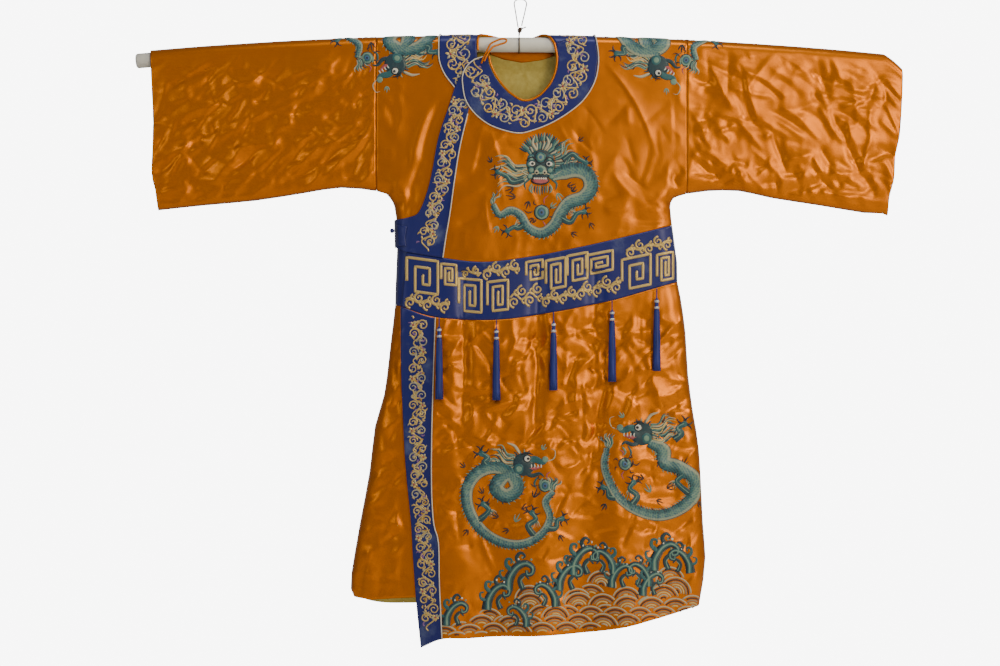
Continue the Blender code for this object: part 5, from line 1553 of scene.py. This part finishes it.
def weave_group():
    """Satin: floats of thread in rows, soft clouding of the dye, and wear that dulls it in places."""
    made, given, out = group("satin_weave",
            [("Colour", "NodeSocketColor", (0.8, 0.3, 0.03, 1)),
            ("Deep", "NodeSocketColor", (0.4, 0.1, 0.01, 1)),
            ("Wear", "NodeSocketFloat", 0.3)],
            [("Colour", "NodeSocketColor"), ("Roughness", "NodeSocketFloat"), ("Height", "NodeSocketFloat")])
    place = add(made, "ShaderNodeTexCoord").outputs["Object"]
    cloud = noise(made, place, 7.0, 4.0, 0.6)
    fine = noise(made, place, 60.0, 4.0, 0.65)
    thread = noise(made, drawn_out(made, place, (2400, 2400, 500)), 1.0, 1.0, 0.5)
    rows = noise(made, drawn_out(made, place, (30, 30, 900)), 1.0, 2.0, 0.5)
    shade = math_node(made, "ADD", math_node(made, "MULTIPLY", cloud, 0.55),
            math_node(made, "MULTIPLY", fine, 0.25))
    factor = math_node(made, "MULTIPLY", shade, given.outputs["Wear"])
    colour = mixed(made, factor, given.outputs["Colour"], given.outputs["Deep"])
    streaked = mixed(made, math_node(made, "MULTIPLY", rows, 0.12), colour, given.outputs["Deep"])
    made.links.new(streaked, out.inputs["Colour"])
    rough = math_node(made, "ADD", math_node(made, "MULTIPLY", cloud, 0.16), 0.29)
    made.links.new(rough, out.inputs["Roughness"])
    height = math_node(made, "ADD", math_node(made, "MULTIPLY", thread, 0.6),
            math_node(made, "MULTIPLY", rows, 0.4))
    made.links.new(height, out.inputs["Height"])
    return made


def finish(name, metallic=0.0, roughness=None, sheen=0.0, specular=0.5, coat=0.0):
    """A fresh material with its shader and its constants; returns it, its tree and the shader."""
    made = bpy.data.materials.new(name)
    made.use_nodes = True
    tree = made.node_tree
    shader = tree.nodes["Principled BSDF"]
    shader.inputs["Metallic"].default_value = metallic
    shader.inputs["Specular IOR Level"].default_value = specular
    shader.inputs["Sheen Weight"].default_value = sheen
    shader.inputs["Coat Weight"].default_value = coat
    if roughness is not None:
        shader.inputs["Roughness"].default_value = roughness
    return made, tree, shader


def bumped(tree, shader, height, strength, distance):
    node = add(tree, "ShaderNodeBump")
    node.inputs["Strength"].default_value = strength
    node.inputs["Distance"].default_value = distance
    tree.links.new(height, node.inputs["Height"])
    tree.links.new(node.outputs["Normal"], shader.inputs["Normal"])


def satin(name, weave, colour, deep, wear, metallic, fade=None):
    """A satin from the shared weave; fade is a colour that the dye has bleached to in worn places."""
    made, tree, shader = finish(name, metallic=metallic, sheen=0.15)
    shader.inputs["Specular Tint"].default_value = (1.0, 0.66, 0.16, 1) if metallic > 0.3 else (1, 1, 1, 1)
    node = add(tree, "ShaderNodeGroup", node_tree=weave)
    node.inputs["Colour"].default_value = (*colour, 1)
    node.inputs["Deep"].default_value = (*deep, 1)
    node.inputs["Wear"].default_value = wear
    result = node.outputs["Colour"]
    if fade:
        place = add(tree, "ShaderNodeTexCoord").outputs["Object"]
        worn = noise(tree, place, 16.0, 5.0, 0.6)
        mask = ramp(tree, worn, [(0.56, (0, 0, 0)), (0.74, (0.55, 0.55, 0.55))])
        result = mixed(tree, mask, result, fade)
    tree.links.new(result, shader.inputs["Base Color"])
    tree.links.new(node.outputs["Roughness"], shader.inputs["Roughness"])
    bumped(tree, shader, node.outputs["Height"], 0.25, 0.0003)
    return made


def plain(name, colour, other, scale, roughness, metallic=0.0, bump=0.2, stretch=(1, 1, 1), specular=0.4):
    """A colour mottled with another by noise, which also gives its grain; stretch draws the grain out."""
    made, tree, shader = finish(name, metallic, roughness, specular=specular)
    place = add(tree, "ShaderNodeTexCoord").outputs["Object"]
    grain = noise(tree, drawn_out(tree, place, stretch), scale, 5.0, 0.6)
    tree.links.new(ramp(tree, grain, [(0.32, colour), (0.68, other)]), shader.inputs["Base Color"])
    bumped(tree, shader, grain, bump, 0.0006)
    return made


def floss(name, metallic=0.0, roughness=0.42):
    """Silk floss: its colour comes from the stitch's own attribute, with threads laid along each stitch."""
    made, tree, shader = finish(name, metallic, roughness, sheen=0.2, specular=0.55)
    colour = add(tree, "ShaderNodeAttribute", attribute_name="floss_colour").outputs["Color"]
    place = add(tree, "ShaderNodeAttribute", attribute_name="stitch_place").outputs["Vector"]
    thread = noise(tree, drawn_out(tree, place, (120, 1900, 1)), 1.0, 2.0, 0.5)
    darker = mixed(tree, math_node(tree, "MULTIPLY", thread, 0.55), colour,
            mixed(tree, 0.6, colour, (0.0, 0.0, 0.0)))
    tree.links.new(darker, shader.inputs["Base Color"])
    bumped(tree, shader, thread, 0.5, 0.0005)
    return made


def all_finishes():
    """Every material by the name of its slot or use."""
    weave = weave_group()
    sizes = bpy.context.scene.dragon_robe
    orange = tuple(sizes.satin_colour)
    return {
        "orange_satin": satin("robe_satin", weave, orange, (0.30, 0.055, 0.002), 0.55, 0.80),
        "blue_satin": satin("border_satin", weave, tuple(sizes.border_colour), (0.008, 0.014, 0.10), 0.7,
            0.12,
            (0.13, 0.17, 0.30)),
        "yellow_lining": plain("yellow_lining_cloth", (0.62, 0.50, 0.13), (0.48, 0.36, 0.07), 90.0, 0.75,
            bump=0.15),
        "cream_piping": plain("cream_piping_cord", (0.76, 0.72, 0.66), (0.55, 0.50, 0.44), 260.0, 0.6),
        "blue_floss": plain("navy_floss", (0.022, 0.040, 0.30), (0.008, 0.014, 0.12), 420.0, 0.5, bump=0.5,
            stretch=(1, 1, 0.05)),
        "silver_band": plain("silver_thread", (0.70, 0.70, 0.74), (0.42, 0.42, 0.46), 500.0, 0.35,
            metallic=0.5),
        "white_pole": plain("painted_pole", (0.80, 0.78, 0.73), (0.72, 0.70, 0.64), 22.0, 0.42, bump=0.05,
            stretch=(0.3, 1, 1)),
        "brown_cord": plain("brown_twisted_cord", (0.075, 0.038, 0.022), (0.03, 0.014, 0.008), 500.0, 0.7,
            bump=0.6),
        "floss": floss("silk_floss"),
        "gold": floss("couched_gold", metallic=0.55, roughness=0.36),
    }


# ---------------------------------------------------------------- the stage
CAMERA_PLACE = (-0.042, -5.0, -0.716)
CAMERA_LENS = 83.7


def pointed_at(made, target):
    """Turns an object so that it looks at a point."""
    from_here = np.array(target) - np.array(made.location)
    made.rotation_euler = (math.atan2(math.hypot(from_here[0], from_here[1]), -from_here[2]), 0,
            math.atan2(-from_here[0], from_here[1]))


def soft_light(name, place, target, size, power, colour=(1, 1, 1)):
    data = bpy.data.lights.new(name, "AREA")
    data.shape = "RECTANGLE"
    data.size, data.size_y = size
    data.energy = power
    data.color = colour
    made = bpy.data.objects.new(name, data)
    made.location = place
    bpy.context.scene.collection.objects.link(made)
    pointed_at(made, target)
    return made


def build_stage(sizes):
    """A camera square to the robe, a pale floor below it, and soft lights with the main one to the right."""
    data = bpy.data.cameras.new("camera")
    data.sensor_width = 36
    data.lens = CAMERA_LENS
    camera = bpy.data.objects.new("camera", data)
    camera.location = CAMERA_PLACE
    camera.rotation_euler = (math.pi / 2, 0, 0)
    bpy.context.scene.collection.objects.link(camera)
    bpy.context.scene.camera = camera
    floor_mesh = bpy.data.meshes.new("floor")
    floor_mesh.from_pydata([(-4, -6, -1.62), (4, -6, -1.62), (4, 1.05, -1.62), (-4, 1.05, -1.62)], [],
            [(0, 1, 2, 3)])
    floor = bpy.data.objects.new("floor", floor_mesh)
    bpy.context.scene.collection.objects.link(floor)
    floor_mesh.materials.append(plain("pale_floor", (0.86, 0.86, 0.85), (0.82, 0.82, 0.81), 3.0, 0.8,
            bump=0.05))
    world = bpy.data.worlds.new("studio")
    world.use_nodes = True
    tree = world.node_tree
    tree.nodes.clear()
    ray = tree.nodes.new("ShaderNodeLightPath")
    dim, bright = tree.nodes.new("ShaderNodeBackground"), tree.nodes.new("ShaderNodeBackground")
    dim.inputs["Color"].default_value = (0.93, 0.95, 1.0, 1)
    dim.inputs["Strength"].default_value = sizes.ambient
    bright.inputs["Color"].default_value = (1, 1, 1, 1)
    bright.inputs["Strength"].default_value = 8.0
    mix = tree.nodes.new("ShaderNodeMixShader")
    out = tree.nodes.new("ShaderNodeOutputWorld")
    tree.links.new(ray.outputs["Is Camera Ray"], mix.inputs["Fac"])
    tree.links.new(dim.outputs["Background"], mix.inputs[1])
    tree.links.new(bright.outputs["Background"], mix.inputs[2])
    tree.links.new(mix.outputs["Shader"], out.inputs["Surface"])
    bpy.context.scene.world = world
    soft_light("key", (2.35, -4.2, 0.35), (0.3, 0, -0.7), (1.4, 1.8), sizes.key_power, (1.0, 0.88, 0.58))
    soft_light("rake", (3.2, -1.3, 1.3), (0, 0, -0.7), (0.6, 0.6), sizes.key_power * 0.9, (1.0, 0.86, 0.55))
    soft_light("fill", (-2.8, -3.2, 0.4), (0, 0, -0.7), (0.8, 1.2), sizes.fill_power, (0.95, 0.97, 1.0))
    soft_light("top", (0.2, -1.2, 1.7), (0, 0, -0.8), (1.2, 0.4), sizes.fill_power)
    soft_light("back", (0.5, 2.8, 0.4), (0, 0, -0.7), (1.6, 1.6), sizes.fill_power * 2.0)


# ---------------------------------------------------------------- settings and steps
class RobeSettings(bpy.types.PropertyGroup):
    """Sizes and colours that a maker may change before the steps are run."""
    fold_strength: bpy.props.FloatProperty(
        name="Fold strength", description="How strongly the cloth is creased, 1 as it hangs", default=1.0,
            min=0.0, max=1.3)
    front_spacing: bpy.props.FloatProperty(
        name="Front spacing", description="Distance between points of the cloth at the front, in millimetres",
        default=4.0, min=2.5, max=12.0)
    back_spacing: bpy.props.FloatProperty(
        name="Back spacing", description="Distance between points of the cloth at the back, in millimetres",
        default=10.0, min=3.0, max=20.0)
    satin_colour: bpy.props.FloatVectorProperty(
        name="Satin colour", description="Colour of the robe's satin", subtype="COLOR", size=3,
            default=(0.80, 0.215, 0.001),
        min=0.0, max=1.0)
    border_colour: bpy.props.FloatVectorProperty(
        name="Border colour", description="Colour of collar, borders and waistband", subtype="COLOR", size=3,
        default=(0.005, 0.010, 0.185), min=0.0, max=1.0)
    floss_height: bpy.props.FloatProperty(
        name="Floss height", description="How far the embroidery stands off the satin, in metres",
            default=0.00015,
        min=0.00005, max=0.001, subtype="DISTANCE", unit="LENGTH")
    ambient: bpy.props.FloatProperty(
        name="Ambient light", description="Strength of the light from all round", default=0.20, min=0.0,
            max=4.0)
    key_power: bpy.props.FloatProperty(
        name="Key light", description="Power of the main light", default=72.0, min=0.0, subtype="POWER",
            unit="POWER")
    fill_power: bpy.props.FloatProperty(
        name="Fill light", description="Power of the softer lights", default=16.0, min=0.0, subtype="POWER",
            unit="POWER")


MATERIALS = {}


def finish_named(name):
    """One of the robe's materials, made when the first is asked for."""
    if not MATERIALS:
        MATERIALS.update(all_finishes())
    return MATERIALS[name]


class RobeStage(bpy.types.Operator):
    """Makes the camera, the pale floor and the soft lights."""
    bl_idname = "robe.stage"
    bl_label = "Stage"

    def execute(self, context):
        build_stage(context.scene.dragon_robe)
        return {"FINISHED"}


class RobeCord(bpy.types.Operator):
    """Makes the hanging loop of cord, its knot and the ring round the pole."""
    bl_idname = "robe.cord"
    bl_label = "Hanging cord"

    def execute(self, context):
        hanging_cord(finish_named("brown_cord"))
        cord_knots(finish_named("brown_cord"))
        return {"FINISHED"}


class RobePole(bpy.types.Operator):
    """Makes the white pole through the sleeves."""
    bl_idname = "robe.pole"
    bl_label = "Pole"

    def execute(self, context):
        pole(finish_named("white_pole"))
        return {"FINISHED"}


class RobeCloth(bpy.types.Operator):
    """Makes every cut piece of cloth, each a thin wall with its folds."""
    bl_idname = "robe.cloth"
    bl_label = "Cloth"

    def execute(self, context):
        sizes = context.scene.dragon_robe
        for row in cloth_pieces(edges(), sizes.front_spacing, sizes.back_spacing):
            name, grids, outer, thickness, outside, inside, lifted = row
            made, cut, faces = slab(f"{name}_cloth", grids, outer, thickness, finish_named(outside),
                    finish_named(inside) if inside else None, lifted)
            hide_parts(name)
        return {"FINISHED"}


class RobeRolls(bpy.types.Operator):
    """Makes the pipings, the roll round the neck, the collar's loop and the side button."""
    bl_idname = "robe.rolls"
    bl_label = "Piping and fastenings"

    def execute(self, context):
        rolls(finish_named("cream_piping"), finish_named("orange_satin"), finish_named("blue_satin"))
        return {"FINISHED"}


class RobeTassels(bpy.types.Operator):
    """Makes the five tassels under the waistband."""
    bl_idname = "robe.tassels"
    bl_label = "Tassels"

    def execute(self, context):
        tassels(finish_named("blue_floss"), finish_named("silver_band"))
        return {"FINISHED"}


class RobeDragons(bpy.types.Operator):
    """Embroiders the dragon roundels of the chest, skirt, shoulders and back."""
    bl_idname = "robe.dragons"
    bl_label = "Dragons"

    def execute(self, context):
        thread = finish_named("floss")
        base = context.scene.dragon_robe.floss_height / MM
        # name, place on the cut, turn, mirror, scale, seed, rides on the crossing front
        roundels = [
            ("chest", to_cut([(50, -408)])[0], 0, 1, 1.0, 3, True),
            ("skirt_left", to_cut([(-16, -1069)])[0], 0, 1, 1.0, 4, True),
            ("skirt_right", to_cut([(286, -1006)])[0], 0, -1, 1.02, 5, False),
            ("shoulder_left", (-281, 0.0), -150, 1, 0.98, 8, False),
            ("shoulder_right", (311, 0.0), 150, -1, 0.98, 8, False),
            ("back", to_cut([(CENTRE_BACK, -408)], -1)[0], 180, 1, 1.0, 9, False),
            ("back_skirt_left", to_cut([(-170, -1050)], -1)[0], 180, 1, 1.0, 11, False),
            ("back_skirt_right", to_cut([(180, -1050)], -1)[0], 180, -1, 1.0, 11, False),
        ]
        for name, place, turn, mirror, scale, seed, lifted in roundels:
            work = Stitches(place, turn, mirror, scale, base, seed)
            if name in ("chest", "back"):
                chest_dragon(work)
            else:
                low_dragon(work, tail_out=name == "skirt_right")
            work.made(f"{name}_dragon", thread, lifted)
        return {"FINISHED"}


class RobeSea(bpy.types.Operator):
    """Embroiders the waves along the front hem."""
    bl_idname = "robe.sea"
    bl_label = "Waves"

    def execute(self, context):
        base = context.scene.dragon_robe.floss_height / MM
        hem = columns(FRONT_HEM).T + [[0], [9]]
        fans = [fan for fan in sea_fans(-160, 396, hem) if fan[0] < 372]
        sea = Stitches(to_cut([(0, 0)])[0], base=base, seed=6)
        wave_sea(sea, fans, hem, [row for row in CRESTS if row[0] < 380])
        sea.made("hem_waves", finish_named("floss"), True)
        return {"FINISHED"}


class RobeBand(bpy.types.Operator):
    """Couches the gold frets and clouds on the waistband."""
    bl_idname = "robe.band"
    bl_label = "Waistband figures"

    def execute(self, context):
        work = Stitches(to_cut([(0, 0)])[0], base=0.15, seed=7)
        band_figures(work)
        work.made("waistband_gold", finish_named("gold"), True, "blue_satin")
        behind = Stitches(to_cut([(0, 0)], -1)[0] + (0, 9), turn=180, mirror=-1, base=0.15, seed=17)
        band_figures(behind)
        behind.made("waistband_back_gold", finish_named("gold"), False, "blue_satin")
        return {"FINISHED"}


class RobeVines(bpy.types.Operator):
    """Embroiders the vines along the collar, the lapel and the skirt's border."""
    bl_idname = "robe.vines"
    bl_label = "Border vines"

    def execute(self, context):
        base = GAP + TRIM + 0.15
        lapel = smooth(to_cut([(-128, -215), (-140, -262), (-152, -320), (-165, -385), (-180, -445),
                (-196, -500), (-204, -540)]), 8)
        low = smooth(to_cut([(-216, -690), (-218, -800), (-218, -940), (-213, -1050), (-206, -1130),
                (-198, -1220),
                (-188, -1350)]), 8)
        for name, line, half, seed, lifted in (
                ("collar_front_vine", smooth(ring_edge(FRONT_RING[:-1]), 8), 34, 12, True),
                ("collar_back_vine", smooth(ring_edge(BACK_RING), 8), 38, 13, False),
                ("lapel_vine", lapel, 26, 14, True), ("skirt_border_vine", low, 27, 15, True)):
            work = Stitches(base=base, seed=seed)
            vine(work, line, half, seed)
            work.made(name, finish_named("gold"), lifted, "blue_satin")
        return {"FINISHED"}


STEPS = [RobeStage, RobeCord, RobePole, RobeCloth, RobeRolls, RobeTassels, RobeDragons, RobeSea, RobeBand,
        RobeVines]


class RobePanel(bpy.types.Panel):
    """Lists the settings and the steps in the sidebar."""
    bl_idname = "VIEW3D_PT_dragon_robe"
    bl_label = "Dragon robe"
    bl_space_type = "VIEW_3D"
    bl_region_type = "UI"
    bl_category = "Robe"

    def draw(self, context):
        for name in RobeSettings.__annotations__:
            self.layout.prop(context.scene.dragon_robe, name)
        for step in STEPS:
            self.layout.operator(step.bl_idname)


def register():
    for known in (RobeSettings, *STEPS, RobePanel):
        bpy.utils.register_class(known)
    bpy.types.Scene.dragon_robe = bpy.props.PointerProperty(type=RobeSettings)


def unregister():
    del bpy.types.Scene.dragon_robe
    for known in reversed((RobeSettings, *STEPS, RobePanel)):
        bpy.utils.unregister_class(known)


def main():
    """Runs every step in order."""
    register()
    for step in STEPS:
        family, name = step.bl_idname.split(".")
        getattr(getattr(bpy.ops, family), name)()


if __name__ == "__main__":
    main()
